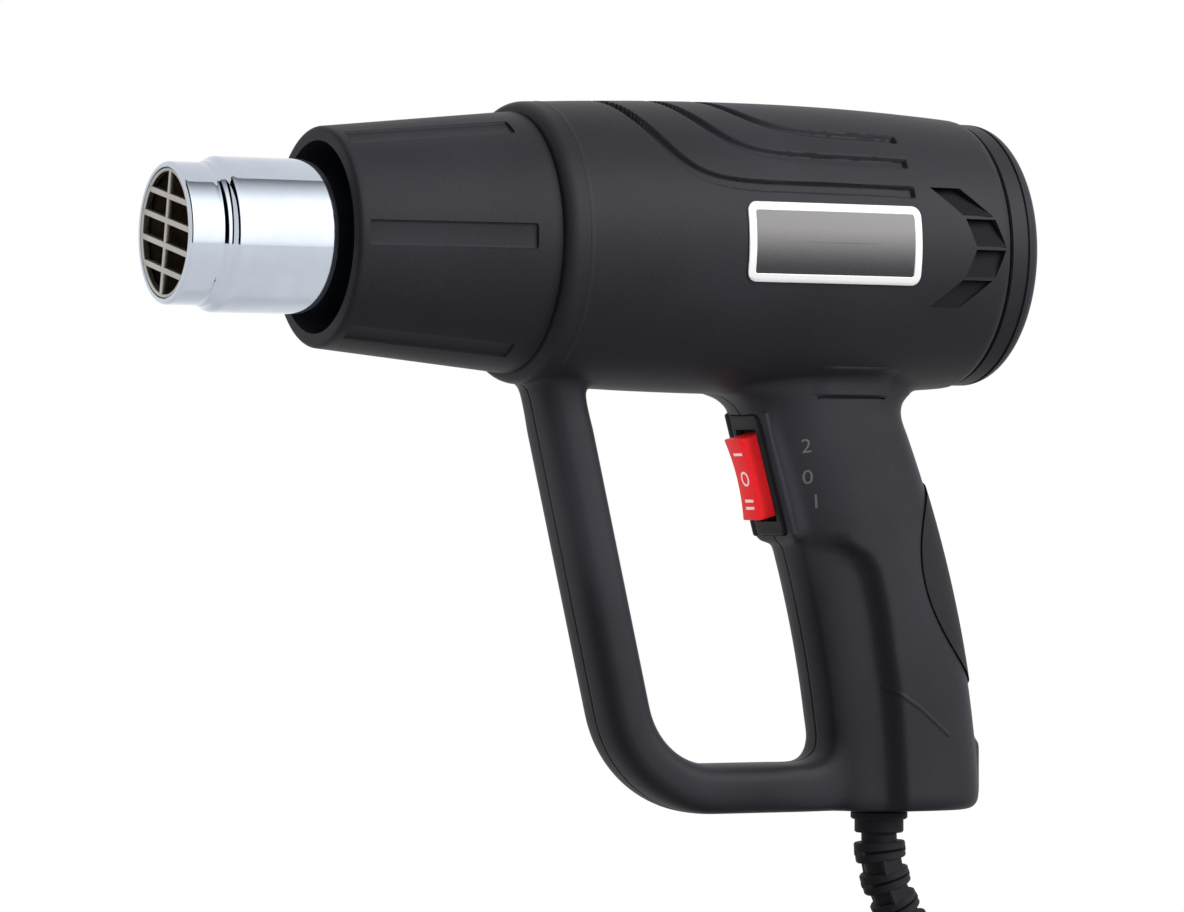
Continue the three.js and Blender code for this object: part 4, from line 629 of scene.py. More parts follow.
def gripSolid(inset):
    def section(z, shrink):
        centre = Vector((gripCentre(z), 0, z))
        depth = grip["depth"] + 2 * flare(grip["fillet"], underside - z)
        return oval(centre, Vector((1, 0, 0)), depth - 2 * shrink, grip["width"] - 2 * shrink, grip["square"])
    bottom = grip["base"] + inset
    sections = [section(underside + grip["sunk"], inset)]
    sections += [section(underside - d, inset) for d in steps(0, grip["fillet"], 12)]
    sections += [section(z, inset) for z in steps(underside - grip["fillet"], bottom + grip["edge"], 30)[1:]]
    for angle in steps(0, 90, 6)[1:]:
        shrink = grip["edge"] * (1 - math.cos(radians(angle)))
        sections.append(section(bottom + grip["edge"] * (1 - math.sin(radians(angle))), inset + shrink))
    return lofted(sections, grip["sides"])


def guardSolid(inset):
    g = guard
    lean = radians(g["rake"])
    barZ = grip["base"] + g["thick"] / 2
    bendZ = barZ + g["corner"] * (1 - math.sin(lean))
    guardX = lambda z: g["topX"] + (underside - z) * math.tan(lean)
    centre = Vector((guardX(bendZ) + g["corner"] * math.cos(lean), 0, barZ + g["corner"]))
    path = []  # point, way along, distance to the grip
    for z in steps(underside + grip["sunk"], bendZ, 40):
        path.append((Vector((guardX(z), 0, z)), Vector((math.sin(lean), 0, -math.cos(lean))), farOff))
    for angle in steps(180 + g["rake"], 270, 16)[1:]:
        a = radians(angle)
        out = Vector((math.cos(a), 0, math.sin(a)))
        path.append((centre + out * g["corner"], Vector((-math.sin(a), 0, math.cos(a))), farOff))
    face = gripCentre(barZ) - grip["depth"] / 2
    for x in steps(centre.x, face, 24)[1:] + [gripCentre(barZ)]:
        path.append((Vector((x, 0, barZ)), Vector((1, 0, 0)), face - x))
    sections = []
    for point, way, ahead in path:
        inwards = Vector((-way.z, 0, way.x))
        heel = flare(g["barFillet"], ahead)
        thick, width = g["thick"] - 2 * inset + heel, g["width"] - 2 * inset
        sections.append(oval(point + inwards * heel / 2, inwards, thick, width, g["square"]))
    return lofted(sections, g["sides"])


# The switch's own frame: x points into the grip, z up along its face
switchRake = Matrix.Rotation(radians(-switch["rake"]), 4, "Y")
switchPlace = Matrix.Translation((switch["x"], 0, switch["z"])) @ switchRake


def switchBlock(length, width, corner, x0, x1):
    bm = block(x0, x1, -width / 2, width / 2, -length / 2, length / 2)
    bevel(bm, edgesAlong(bm, 0, 0.5 * (x1 - x0)), corner, 5)
    bmesh.ops.transform(bm, matrix=switchPlace, verts=bm.verts)
    return bm


def barrelHollow():
    b = barrel
    front, rear = b["front"] + b["lipThick"], b["rear"] - b["lipThick"]
    inside = [(x, barrelRadius(x) - b["wall"]) for x in steps(front, rear, 12)]
    return spun([(b["front"] - 1, 0), (b["front"] - 1, b["lip"]), (front, b["lip"])] + inside
                + [(rear, b["lip"]), (b["rear"] + 1, b["lip"]), (b["rear"] + 1, 0)], b["hollowSides"])


# Finger scoop: ahead of this line the grip is drawn in towards the guard's width
scoop = {"edge": [(-73, 176), (-76.6, 181.5), (-80.3, 184), (-86.5, 185.7), (-93.2, 187.2), (-102.7, 188.7),
                  (-112.1, 190.3), (-126.3, 191.5), (-142, 192.6)], "top": -73, "blendX": 3.8, "blendZ": 5,
         "half": 8, "draw": 0.54, "front": (158, 172), "rear": 202}
# Grooves: each has its final angle from the crown and where it starts; the zone is where they can be
grooves = {"lines": [(68, 111.5), (54.5, 126.1), (41, 138.5)], "end": 185.5, "run": 6, "width": 2.6,
           "depth": 1.25, "soft": 0.4, "fine": 1.5, "zoneX": (105, 190), "zoneRadius": 30, "zoneZ": 5,
           "probes": (-3, -2, -1.2, -0.6, -0.3, 0, 0.3, 0.6, 1.2, 2, 3)}
skin = {"voxel": 0.7, "smoothing": 5, "finishing": 2, "sharp": 50, "seamDepth": 0.35, "seamHalf": 0.15,
        "seamLines": (-0.8, 0, 0.8), "seamNear": 0.05}


def scoopEdge(z):
    for (z0, x0), (z1, x1) in zip(scoop["edge"], scoop["edge"][1:]):
        if z1 <= z <= z0:
            return x0 + (x1 - x0) * (z0 - z) / (z0 - z1)
    return scoop["edge"][0][1] if z > scoop["top"] else scoop["edge"][-1][1]


def drawScoop(bm, inset=0):
    for vert in bm.verts:
        x, y, z = vert.co
        first, full = scoop["front"]
        if z > scoop["top"] + scoop["blendZ"] + inset or not first < x < scoop["rear"]:
            continue
        ahead = smoothstep((scoopEdge(z) + inset - x) / scoop["blendX"] + 0.5)
        ahead *= smoothstep((x - first) / (full - first))
        below = smoothstep((scoop["top"] + inset - z) / scoop["blendZ"] + 0.5)
        limit = scoop["half"] - inset  # what is narrower than this stays
        if abs(y) > limit:
            vert.co.y = y - math.copysign((abs(y) - limit) * scoop["draw"], y) * ahead * below


def grooveDistance(x, angle, radius, peak, start):
    best = farOff
    for dx in grooves["probes"]:
        at = x + dx
        if at < start:
            continue
        line = peak * (1 - math.exp(-(at - start) / grooves["run"]))
        best = min(best, math.hypot(dx, radians(angle - line) * radius))
    return best


# Vertices that lie nearer to a groove than the limit, each with its distance
def nearGrooves(bm, limit):
    first, last = grooves["zoneX"]
    near = []
    for vert in bm.verts:
        x, y, z = vert.co
        radius = math.hypot(y, z)
        if not first < x < last or radius < grooves["zoneRadius"] or z < grooves["zoneZ"]:
            continue
        angle = math.degrees(math.atan2(abs(y), z))
        distance = min(grooveDistance(x, angle, radius, *line) for line in grooves["lines"])
        if distance < limit:
            near.append((vert, distance))
    return near


def sinkGrooves(bm):
    half, soft = grooves["width"] / 2, grooves["soft"]
    for vert, distance in nearGrooves(bm, half + soft):
        squareEnd = smoothstep((grooves["end"] - vert.co.x) / (2 * soft))
        depth = grooves["depth"] * smoothstep((half + soft - distance) / (2 * soft)) * squareEnd
        radius = math.hypot(vert.co.y, vert.co.z)
        vert.co.y *= 1 - depth / radius
        vert.co.z *= 1 - depth / radius


def refineGrooves(bm):
    chosen = {vert for vert, _ in nearGrooves(bm, grooves["width"] / 2 + grooves["fine"])}
    edges = [e for e in bm.edges if e.verts[0] in chosen and e.verts[1] in chosen]
    bmesh.ops.subdivide_edges(bm, edges=edges, cuts=1, use_grid_fill=True)


def markSeam(bm):
    for y in skin["seamLines"]:
        bmesh.ops.bisect_plane(bm, geom=bm.verts[:] + bm.edges[:] + bm.faces[:], dist=sameSpot,
                               plane_co=(0, y, 0), plane_no=across)
    bm.normal_update()
    moves = [(v, v.normal.copy()) for v in bm.verts if abs(v.co.y) < skin["seamNear"]]
    for vert, normal in moves:
        vert.co -= normal * skin["seamDepth"]
        vert.co.y = 0


# The last number is how far the nearly black plates of painted shade reach to either side of each pocket's
# floor
vents = {"count": 4, "pitch": 7.6, "height": 6.8, "length": 8.8, "apex": 206, "bow": 18, "deep": 2.3,
         "shallow": 0.35, "over": 4, "shadePlates": 0.1}


# The pockets of one side, or the nearly black plates of painted shade on their floors
def ventTools(side, shadePlates=False):
    bm = bmesh.new()
    v = vents
    for row in range(v["count"]):
        middle = (row - (v["count"] - 1) / 2) * v["pitch"]
        middleX = v["apex"] - middle ** 2 / v["bow"]
        top, bottom = middle + v["height"] / 2, middle - v["height"] / 2
        pocket = unitBlock()
        for vert in pocket.verts:
            up = vert.co.z > 0
            z = top if up else bottom
            flank = math.sqrt(barrelRadius(middleX) ** 2 - z ** 2)
            outside = vert.co.y * side > 0
            floor = flank - (v["deep"] if up else v["shallow"])
            # For the plates of painted shade: a thin slab round each pocket's floor
            over, under = (floor + v["shadePlates"], floor - v["shadePlates"]) if shadePlates else (flank + v["over"], floor)
            x = middleX - 2 * middle / v["bow"] * (z - middle) + vert.co.x * v["length"]
            vert.co = Vector((x, side * (over if outside else under), z))
        outwards(pocket)
        join(bm, pocket)
    return bm


heel = {"x0": 203, "x1": 219.5, "half": 8.6, "low": -137.6, "high": -122.6, "edge": 1.6}
pad = {"top": -57.8, "height": 51, "wrap": 12, "thick": 1.2, "proud": 0.45, "gap": 0.45}
# Where the skin is rounded: middle, reach and number of passes
rounded = [((178, 0, -38), (40, 26, 11), 40), ((104, 0, -38), (18, 20, 10), 30),
           ((180, 0, -129), (18, 18, 15), 40), ((167, 0, -57), (13, 20, 23), 12)]


def padLens(grow):
    top, bottom = pad["top"] + grow, pad["top"] - pad["height"] - grow
    back = lambda z: gripCentre(z) + grip["depth"] / 2
    middle = Vector((back((top + bottom) / 2) - 2 * pad["wrap"] - grow, (top + bottom) / 2))
    first, last = Vector((back(top), top)), Vector((back(bottom), bottom))
    curve = [first * (1 - t) ** 2 + middle * 2 * t * (1 - t) + last * t ** 2 for t in steps(0, 1, 32)]
    bm = bmesh.new()
    outline = [(first.x + pad["wrap"], top)] + [tuple(c) for c in curve] + [(last.x + pad["wrap"], bottom)]
    face = bm.faces.new([bm.verts.new((x, -grip["width"], z)) for x, z in outline])
    made = bmesh.ops.extrude_face_region(bm, geom=[face])["geom"]
    bmesh.ops.translate(bm, vec=(0, 2 * grip["width"], 0), verts=onlyVerts(made))
    outwards(bm)
    return tool(bm)


def roundJunctions(bm):
    for middle, reach, passes in rounded:
        away = lambda co: math.sqrt(sum(((co[k] - middle[k]) / reach[k]) ** 2 for k in range(3)))
        near = [v for v in bm.verts if away(v.co) < 1]
        before = [v.co.copy() for v in near]
        smooth(bm, near, passes)
        for vert, old in zip(near, before):
            vert.co = old.lerp(vert.co, smoothstep(2 * (1 - away(old))))


# Screws that join the halves sit deep in bores of the right half
screwBores = {"places": [(112, 29.6), (195, 29.6), (104.61, -46.3), (130.4, -127.2), (191.4, -52.3),
                         (210.6, -130.5)], "radius": 2.9, "seat": 5, "length": 60}
cordBore = {"radius": 4.8, "length": 8}


def boreTools():
    bm = bmesh.new()
    for x, z in screwBores["places"]:
        bore = rod(screwBores["radius"], screwBores["length"])
        turn(bore, 90, "X")
        bmesh.ops.translate(bore, vec=(x, screwBores["seat"] + screwBores["length"] / 2, z), verts=bore.verts)
        join(bm, bore)
    return bm


def cordHole():
    bm = rod(cordBore["radius"], cordBore["length"])
    bmesh.ops.translate(bm, vec=(relief["x"], 0, grip["base"]), verts=bm.verts)
    return bm


# The y of the left side's skin
def skinY(tree, x, z):
    return tree.ray_cast(Vector((x, -around["y"], z)), across)[0].y


# What is laid on the skin of the left side: each vertex goes to the skin behind it
def layOnSkin(tree, bm, proud, sunk):
    for vert in bm.verts:
        vert.co.y = skinY(tree, vert.co.x, vert.co.z) + (-proud if vert.co.y < 0 else sunk)


# A raised field at the top of the grip, and the crease that runs down towards its heel
field = {"x": (165, 190.5), "z": (-36.9, -29.4), "proud": 0.8, "edge": 0.6, "fade": 6, "across": 40, "up": 36,
         "dip": 0.05, "root": 0.6}
fieldGroove = {"start": (167.7, -37.15), "end": (187.6, -36.95), "width": 0.75, "over": 1, "deep": 0.9}
crease = {"points": [(188.5, -108.9), (197.2, -114.4), (205.9, -121.5)], "width": 1.9, "proud": 0.26,
          "crown": 0.15, "sunk": 0.1}
ridgeCuts = 24


# A straight bar in the plane of the parting line; `crown` is its outer width over its width
def ridge(start, end, width, crown):
    run = Vector((end[0] - start[0], 0, end[1] - start[1]))
    bm = block(0, 1, -0.5, 0.5, -0.5, 0.5)
    bmesh.ops.scale(bm, vec=(1, 1, crown), verts=[v for v in bm.verts if v.co.y < 0])
    bmesh.ops.scale(bm, vec=(run.length, 1, width), verts=bm.verts)
    bmesh.ops.subdivide_edges(bm, edges=edgesAlong(bm, 0, 0.5 * run.length), cuts=ridgeCuts)
    turn(bm, -math.degrees(math.atan2(run.z, run.x)), "Y")
    bmesh.ops.translate(bm, vec=(start[0], 0, start[1]), verts=bm.verts)
    return bm


def makeHousing():
    bm = barrelSolid()
    h = heel
    foot = block(h["x0"], h["x1"], -h["half"], h["half"], h["low"], h["high"], h["edge"], 4)
    for other in (gripSolid(0), guardSolid(0), foot, switchBlock(*switch["block"])):
        join(bm, other)
    whole = link("housingSkin", bm, None, 0, keepMm=True)
    grow = whole.modifiers.new("grow", "REMESH")
    grow.mode = "VOXEL"
    grow.voxel_size = skin["voxel"]
    settle(whole)
    bm = bmesh.new()
    bm.from_mesh(whole.data)
    smooth(bm, bm.verts, skin["smoothing"])
    drawScoop(bm)
    roundJunctions(bm)
    smooth(bm, bm.verts, skin["finishing"])
    refineGrooves(bm)
    sinkGrooves(bm)
    markSeam(bm)
    bm.to_mesh(whole.data)
    tree = BVHTree.FromBMesh(bm)
    bm.free()
    print("housing skin", len(whole.data.polygons), "faces")
    wall = barrel["wall"]
    room = tool(barrelHollow())
    handleRoom = gripSolid(wall)
    drawScoop(handleRoom, wall)
    for other in (handleRoom, guardSolid(wall)):
        carve(room, tool(other), "UNION")
    carve(whole, room)
    seatPad = padLens(pad["gap"])
    carve(seatPad, tool(gripSolid(pad["thick"] + pad["gap"])))
    carve(whole, seatPad)
    line = ridge(fieldGroove["start"], fieldGroove["end"], fieldGroove["width"], 1)
    layOnSkin(tree, line, fieldGroove["over"], fieldGroove["deep"])
    for cut in (line, join(ventTools(-1), ventTools(1)), switchBlock(*switch["bezelSeat"]),
                switchBlock(*switch["caseSeat"]), boreTools(), cordHole()):
        carve(whole, tool(cut))
    for name, node, side in (("housingLeft", "housing_left", -1), ("housingRight", "housing_right", 1)):
        half = bpy.data.objects.new(name, whole.data.copy())
        scene.collection.objects.link(half)
        near, far = sorted((side * skin["seamHalf"], side * around["y"]))
        carve(half, tool(block(*around["x"], near, far, *around["z"])), "INTERSECT")
        bm = bmesh.new()
        bm.from_mesh(half.data)
        bmesh.ops.remove_doubles(bm, verts=bm.verts, dist=sameSpot)
        bmesh.ops.transform(bm, matrix=intoFrame, verts=bm.verts)
        bm.to_mesh(half.data)
        bm.free()
        half.data.materials.clear()
        half.data.materials.append(mouldedAbs)
        half.data.polygons.foreach_set("use_smooth", [True] * len(half.data.polygons))
        half.data.set_sharp_from_angle(angle=radians(skin["sharp"]))
        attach(half, "housing")
        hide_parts(node)
        print(name, len(half.data.polygons), "faces")
    bpy.data.objects.remove(whole)
    return tree


housingTree = makeHousing()
print("housing made")


# A thin tongue inside the guard closes its seam
tongue = {"inset": 0.9, "half": 0.2, "drop": 1}


def makeTongue():
    t = tongue
    obj = tool(guardSolid(t["inset"]))
    carve(obj, tool(guardSolid(barrel["wall"])))
    middle = block(*around["x"], -t["half"], t["half"], around["z"][0], underside - t["drop"])
    carve(obj, tool(middle), "INTERSECT")
    return meshOf(obj)


def makeField():
    f = field
    (x0, x1), (z0, z1) = f["x"], f["z"]
    bm = bmesh.new()
    bmesh.ops.create_grid(bm, x_segments=f["across"], y_segments=f["up"], size=0.5)
    made = bmesh.ops.extrude_face_region(bm, geom=bm.faces[:])["geom"]
    back = set(onlyVerts(made))
    for vert in bm.verts:
        x, z = x0 + (vert.co.x + 0.5) * (x1 - x0), z0 + (vert.co.y + 0.5) * (z1 - z0)
        ends = smoothstep(min(x - x0, x1 - x) / f["fade"])
        lift = f["proud"] * min(1, min(z - z0, z1 - z) / f["edge"]) * ends - f["dip"]
        vert.co = Vector((x, skinY(housingTree, x, z) + (f["root"] if vert in back else -lift), z))
    outwards(bm)
    return bm


def makeCrease():
    bm = bmesh.new()
    for start, end in zip(crease["points"], crease["points"][1:]):
        row = ridge(start, end, crease["width"], crease["crown"])
        layOnSkin(housingTree, row, crease["proud"], crease["sunk"])
        join(bm, row)
    outwards(bm)
    return bm


# Plain numbers beside the switch: high, off and low
numbers = {"rows": [("2", 165.6, -49.3), ("0", 166.6, -57), ("1", 168.9, -63)], "size": 5.0, "slant": -8,
           "thick": 0.5, "proud": 0.06, "sunk": 0.4}


def makeNumbers():
    bm = bmesh.new()
    for sign, x, z in numbers["rows"]:
        data = bpy.data.curves.new("number", "FONT")
        data.body = sign
        data.size = numbers["size"]
        data.align_x, data.align_y = "CENTER", "CENTER"
        data.extrude = numbers["thick"]
        letter = bpy.data.objects.new("number", data)
        scene.collection.objects.link(letter)
        graph = bpy.context.evaluated_depsgraph_get()
        mesh = bpy.data.meshes.new_from_object(letter.evaluated_get(graph))
        bpy.data.objects.remove(letter)
        one = bmesh.new()
        one.from_mesh(mesh)
        bpy.data.meshes.remove(mesh)
        bmesh.ops.remove_doubles(one, verts=one.verts, dist=sameSpot)
        bmesh.ops.triangulate(one, faces=one.faces[:])
        turn(one, 90, "X")
        turn(one, numbers["slant"], "Y")
        bmesh.ops.translate(one, vec=(x, 0, z), verts=one.verts)
        layOnSkin(housingTree, one, numbers["proud"], numbers["sunk"])
        join(bm, one)
    outwards(bm)
    return bm


def makePad():
    obj = tool(gripSolid(-pad["proud"]))
    carve(obj, tool(gripSolid(pad["thick"])))
    carve(obj, padLens(0), "INTERSECT")
    return meshOf(obj)


# Front rim of the barrel: a rounded bead with a fine groove behind it
rim = {"front": 89.95, "crown": 93.7, "groove": 95.2, "grooveDepth": 0.7, "half": 0.6, "end": 97, "fade": 0.3,
       "lift": 0.06, "sunk": 1}


def makeRim():
    r = rim
    outline = []
    for angle in steps(0, 90, 10):
        x = r["front"] + barrel["shoulder"] * (1 - math.cos(radians(angle)))
        edge = barrelRadius(barrel["front"] + barrel["shoulder"]) + r["lift"]
        outline.append((x, edge - barrel["rise"] * (1 - math.sin(radians(angle)))))
    skinAt = lambda x: barrelRadius(x) + r["lift"]
    outline += [(x, skinAt(x)) for x in steps(r["crown"], r["groove"] - r["half"], 3)]
    grooveSkin, endSkin = skinAt(r["groove"]), skinAt(r["end"])
    outline += [(r["groove"], grooveSkin - r["grooveDepth"]), (r["groove"] + r["half"], grooveSkin),
                (r["end"] - r["fade"], endSkin), (r["end"], endSkin - 2 * r["lift"]),
                (r["end"], endSkin - r["sunk"]),
                (r["front"], barrel["frontRadius"] - barrel["rise"] - r["sunk"])]
    return spun(outline, barrel["sides"])


# Rounded beads that frame the switch opening
bead = {"y": 9.85, "width": 1.5, "front": -0.55, "back": 2, "length": 32, "edge": 0.72}


def makeBeads():
    b = bead
    bm = bmesh.new()
    for side in (-1, 1):
        inner, outer = side * b["y"] - b["width"] / 2, side * b["y"] + b["width"] / 2
        bar = block(b["front"], b["back"], inner, outer, -b["length"] / 2, b["length"] / 2, b["edge"], 4)
        bmesh.ops.transform(bar, matrix=switchPlace, verts=bar.verts)
        join(bm, bar)
    return bm


# Nearly black plates of painted shade on the vents' floors, on both sides
def makeVentShade():
    return join(ventTools(-1, True), ventTools(1, True))


for name, bm, material, slot in (("gripField", makeField(), mouldedAbs, "housing_plastic"),
                                 ("gripCrease", makeCrease(), mouldedAbs, "housing_plastic"),
                                 ("switchBeads", makeBeads(), mouldedAbs, "housing_plastic"),
                                 ("guardTongue", makeTongue(), mouldedAbs, "housing_plastic"),
                                 # painted shade: nearly black plates on the vents' floors
                                 ("ventGauze", makeVentShade(), paintedVentShade, "housing_plastic"),
                                 ("switchNumbers", makeNumbers(), greyInk, "housing_plastic"),
                                 ("barrelRim", makeRim(), mouldedAbs, "housing_plastic"),
                                 ("gripPad", makePad(), softRubber, "grip_rubber")):
    obj = link(name, bm, material, softEdge)
    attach(obj, "housing")
    if name == "gripPad":
        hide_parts("grip_pad")
print("grip details laid")


# Nozzle, grille and sleeve
nozzle = {"tip": 17, "lip": 1, "mouth": 15.6, "radius": 18.6, "wall": 0.8, "end": 97.3, "flange": 26.6,
          "tipRun": (1.5, 4.5, 7.4), "tubeStart": 13.2, "shoulderInside": (13, 8), "roll": 0.2, "sides": 160,
          "bead": [(8.0, 0), (8.4, -0.14), (8.8, -0.1), (9.2, 0.16), (9.7, 0.36), (10.2, 0.42), (10.6, 0.5),
                   (11.0, 0.82), (11.5, 1.26), (12.0, 1.5), (12.6, 1.6)]}
tipLiner = {"x": (3, 13.6), "inner": 15.5, "outer": 15.9, "sides": 96}


def makeNozzle():
    n = nozzle
    tubeInside, tipInside = n["radius"] - n["wall"], n["tip"] - n["wall"]
    outline = arc(n["lip"], n["tip"] - n["lip"], n["lip"], 180, 90, 10)
    outline += [(x, n["tip"]) for x in n["tipRun"]]
    outline += [(x, n["tip"] + rise) for x, rise in n["bead"]]  # swaged bead and shoulder behind the tip
    outline += [(x, n["radius"]) for x in steps(n["tubeStart"], n["end"] - n["wall"], 6)]
    shoulder0, shoulder1 = n["shoulderInside"]
    outline += [(n["end"] - n["wall"], n["flange"]), (n["end"], n["flange"]), (n["end"], tubeInside),
                (shoulder0, tubeInside), (shoulder1, tipInside), (n["lip"], tipInside),
                (n["wall"], n["mouth"]), (n["roll"], n["mouth"]), (0, n["mouth"] + n["roll"])]
    return link("nozzleTube", spun(outline, n["sides"]), brightChrome, softEdge)


def makeTipLiner():
    (x0, x1), inner, outer = tipLiner["x"], tipLiner["inner"], tipLiner["outer"]
    ring = spun([(x0, inner), (x1, inner), (x1, outer), (x0, outer)], tipLiner["sides"])
    return link("tipLiner", ring, brownMica, softEdge)


grille = {"turn": 11.5, "bar": 1.45, "pitch": 5.9, "bars": 4, "ring": 0.9, "front": 0.25, "depth": 1.6,
          "outer": 15.5, "edge": 0.3, "barEdge": 0.25, "postBack": 0.1, "sides": 96}


def makeGrille():
    g = grille
    x0, x1 = g["front"], g["front"] + g["depth"]
    edge = g["edge"]
    outline = [(x0 + edge, g["outer"]), (x0, g["outer"] - edge), (x0, g["outer"] - g["ring"] + edge),
               (x0 + edge, g["outer"] - g["ring"]), (x1, g["outer"] - g["ring"]), (x1, g["outer"])]
    bm = spun(outline, g["sides"])
    for i in range(g["bars"]):
        z = (i - (g["bars"] - 1) / 2) * g["pitch"]
        half = math.sqrt((g["outer"] - g["ring"] / 2) ** 2 - z ** 2)
        join(bm, block(x0, x1, -half, half, z - g["bar"] / 2, z + g["bar"] / 2, g["barEdge"]))
    reach = g["outer"] - g["ring"] / 2
    join(bm, block(x0 + g["postBack"], x1, -g["bar"] / 2, g["bar"] / 2, -reach, reach, g["barEdge"]))
    turn(bm, g["turn"], "X")
    return link("outletGrille", bm, stampedSteel, crispEdge)


sleeve = {"mouth": 39, "rear": 89.7, "mouthRadius": 26.6, "rearRadius": 32, "length": 51, "wall": 3.4,
          "edge": 1.2, "plainFrom": 41, "insideFrom": 82.9, "sides": 192,
          "spigot": [(89.7, 28.5), (93.8, 28.5), (93.8, 30.5), (96.2, 30.5), (96.2, 26.1), (86.3, 26.1)],
          "panels": 6, "panelWidth": 6.3, "panelX": (41.5, 83.5), "panelDepth": 0.7, "panelOver": 2,
          "panelCorner": 0.8}


def makeSleeve():
    s = sleeve
    outer = lambda x: s["mouthRadius"] + (s["rearRadius"] - s["mouthRadius"]) * (x - s["mouth"]) / s["length"]
    rounding = arc(s["mouth"] + s["edge"], outer(s["mouth"] + s["edge"]) - s["edge"], s["edge"], 180, 100, 6)
    outline = [(s["mouth"], s["mouthRadius"] - s["wall"])] + rounding
    outline += [(x, outer(x)) for x in steps(s["plainFrom"], s["rear"], 10)] + s["spigot"]
    outline.append((s["insideFrom"], outer(s["insideFrom"]) - s["wall"]))
    obj = tool(spun(outline, s["sides"]))
    panels = bmesh.new()
    for i in range(s["panels"]):
        panel = block(*s["panelX"], -s["panelWidth"] / 2, s["panelWidth"] / 2, 0, 1)
        for vert in panel.verts:
            vert.co.z = outer(vert.co.x) + (s["panelOver"] if vert.co.z > 0.5 else -s["panelDepth"])
        bevel(panel, edgesAlong(panel, 2, 1), s["panelCorner"], 4)
        turn(panel, 90 + 360 / s["panels"] * i, "X")
        join(panels, panel)
    carve(obj, tool(panels))
    return link("frontSleeve", meshOf(obj), filledNylon, crispEdge)


cap = {"front": 213.3, "rear": 222.5, "radius": 33.2, "edge": 4.5, "wall": 2.4, "spigot": 28.5,
       "flange": 30.5, "flangeX": (206.8, 209.2), "seam": (0.4, 0.5), "bandX": (217.6, 217.9, 218.3),
       "band": 0.45, "slots": 7, "slotHeight": 2.6, "slotPitch": 5.6, "slotCorner": 1.1, "reach": 23.5,
       "mullion": 3, "sides": 160}


def makeRearCap():
    c = cap
    inner, inside = c["spigot"] - c["wall"], c["rear"] - c["wall"]
    flange0, flange1 = c["flangeX"]
    outline = [(inside, 0), (inside, inner), (flange0, inner), (flange0, c["flange"]), (flange1, c["flange"]),
               (flange1, c["spigot"]), (c["front"], c["spigot"])]
    outline += [(c["front"], c["radius"] - c["seam"][1]), (c["front"] + c["seam"][0], c["radius"])]
    outline += [(x, c["radius"] - low) for x, low in zip(c["bandX"], (0, c["band"], c["band"]))]
    outline += arc(c["rear"] - c["edge"], c["radius"] - c["edge"], c["edge"], 84, 0, 12) + [(c["rear"], 0)]
    obj = tool(spun(outline, c["sides"]))
    slots = bmesh.new()
    for i in range(c["slots"]):
        z = (i - (c["slots"] - 1) / 2) * c["slotPitch"]
        half = math.sqrt(c["reach"] ** 2 - (abs(z) + c["slotHeight"] / 2) ** 2)
        for y0, y1 in ((-half, -c["mullion"] / 2), (c["mullion"] / 2, half)):
            z0, z1 = z - c["slotHeight"] / 2, z + c["slotHeight"] / 2
            slot = block(c["rear"] - 2 * c["wall"], c["rear"] + 1, y0, y1, z0, z1)
            bevel(slot, edgesAlong(slot, 0, 1), c["slotCorner"], 4)
            join(slots, slot)
    carve(obj, tool(slots))
    return link("rearCap", meshOf(obj), mouldedAbs, crispEdge)


for obj, node, slot in ((makeNozzle(), "nozzle_tube", "chrome_tube"),
                        (makeGrille(), "outlet_grille", "stainless"),
                        (makeSleeve(), "front_sleeve", "housing_plastic"),
                        (makeRearCap(), "rear_cap", "housing_plastic"),
                        (makeTipLiner(), None, "mica")):
    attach(obj, "housing")
    if node:
        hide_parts(node)
print("nozzle, sleeve and cap made")


# Badge: a bare printed plate with a white border, bent round the barrel. Its film is lighter towards its top
# by a painted reflection (fade, film)
badge = {"x": 161.75, "length": 48.5, "height": 19.6, "corner": 2.5, "leastCorner": 0.3, "border": 2.1,
         "proud": 0.4, "plateDrop": 0.15, "plateRoot": 0.8, "rings": (0.1, 9.6, 16), "sides": 180,
         "borderRoot": 0.5, "borderGap": 0.05, "borderSide": 0.1, "borderTop": 0.15,
         "fade": (-7.2, 5.4), "speck": 0.6, "speckShare": 0.12, "film": ("#333336", "#8b898a"), "gloss": 0.38}


def roundRectangle(t, length, height, corner):
    straightX, straightZ, bend = length - 2 * corner, height - 2 * corner, math.pi * corner / 2
    runs = [("side", 1, straightZ), ("turn", 0, bend), ("top", 1, straightX), ("turn", 1, bend),
            ("side", -1, straightZ), ("turn", 2, bend), ("top", -1, straightX), ("turn", 3, bend)]
    s = (t % 1) * 2 * (straightX + straightZ + 2 * bend)
    for kind, way, run in runs:
        if s <= run:
            break
        s -= run
    if kind == "side":
        return way * length / 2, way * (s - straightZ / 2)
    if kind == "top":
        return way * (straightX / 2 - s), way * height / 2
    angle = way * math.pi / 2 + s / corner
    signX, signZ = (1, -1, -1, 1)[way], (1, 1, -1, -1)[way]
    return signX * straightX / 2 + corner * math.cos(angle), signZ * straightZ / 2 + corner * math.sin(angle)


def onFlank(x, z, lift):
    radius = barrelRadius(badge["x"] + x) + lift
    return Vector((badge["x"] + x, -math.sqrt(radius ** 2 - z ** 2), z))


def badgeRing(loops):
    bm = bmesh.new()
    share = bm.verts.layers.float.new("share")
    bmesh.ops.create_circle(bm, segments=badge["sides"], radius=1)
    for vert in bm.verts:
        vert[share] = math.atan2(vert.co.y, vert.co.x) / (2 * math.pi)
    edges = bm.edges[:]
    for i, (inset, lift) in enumerate(loops):
        if i:
            made = bmesh.ops.extrude_edge_only(bm, edges=edges)["geom"]
            edges = [g for g in made if isinstance(g, bmesh.types.BMEdge)]
        for vert in {v for e in edges for v in e.verts}:
            size = badge["length"] - 2 * inset, badge["height"] - 2 * inset
            x, z = roundRectangle(vert[share], *size, max(badge["corner"] - inset, badge["leastCorner"]))
            vert.co = onFlank(x, z, lift)
    return bm, edges


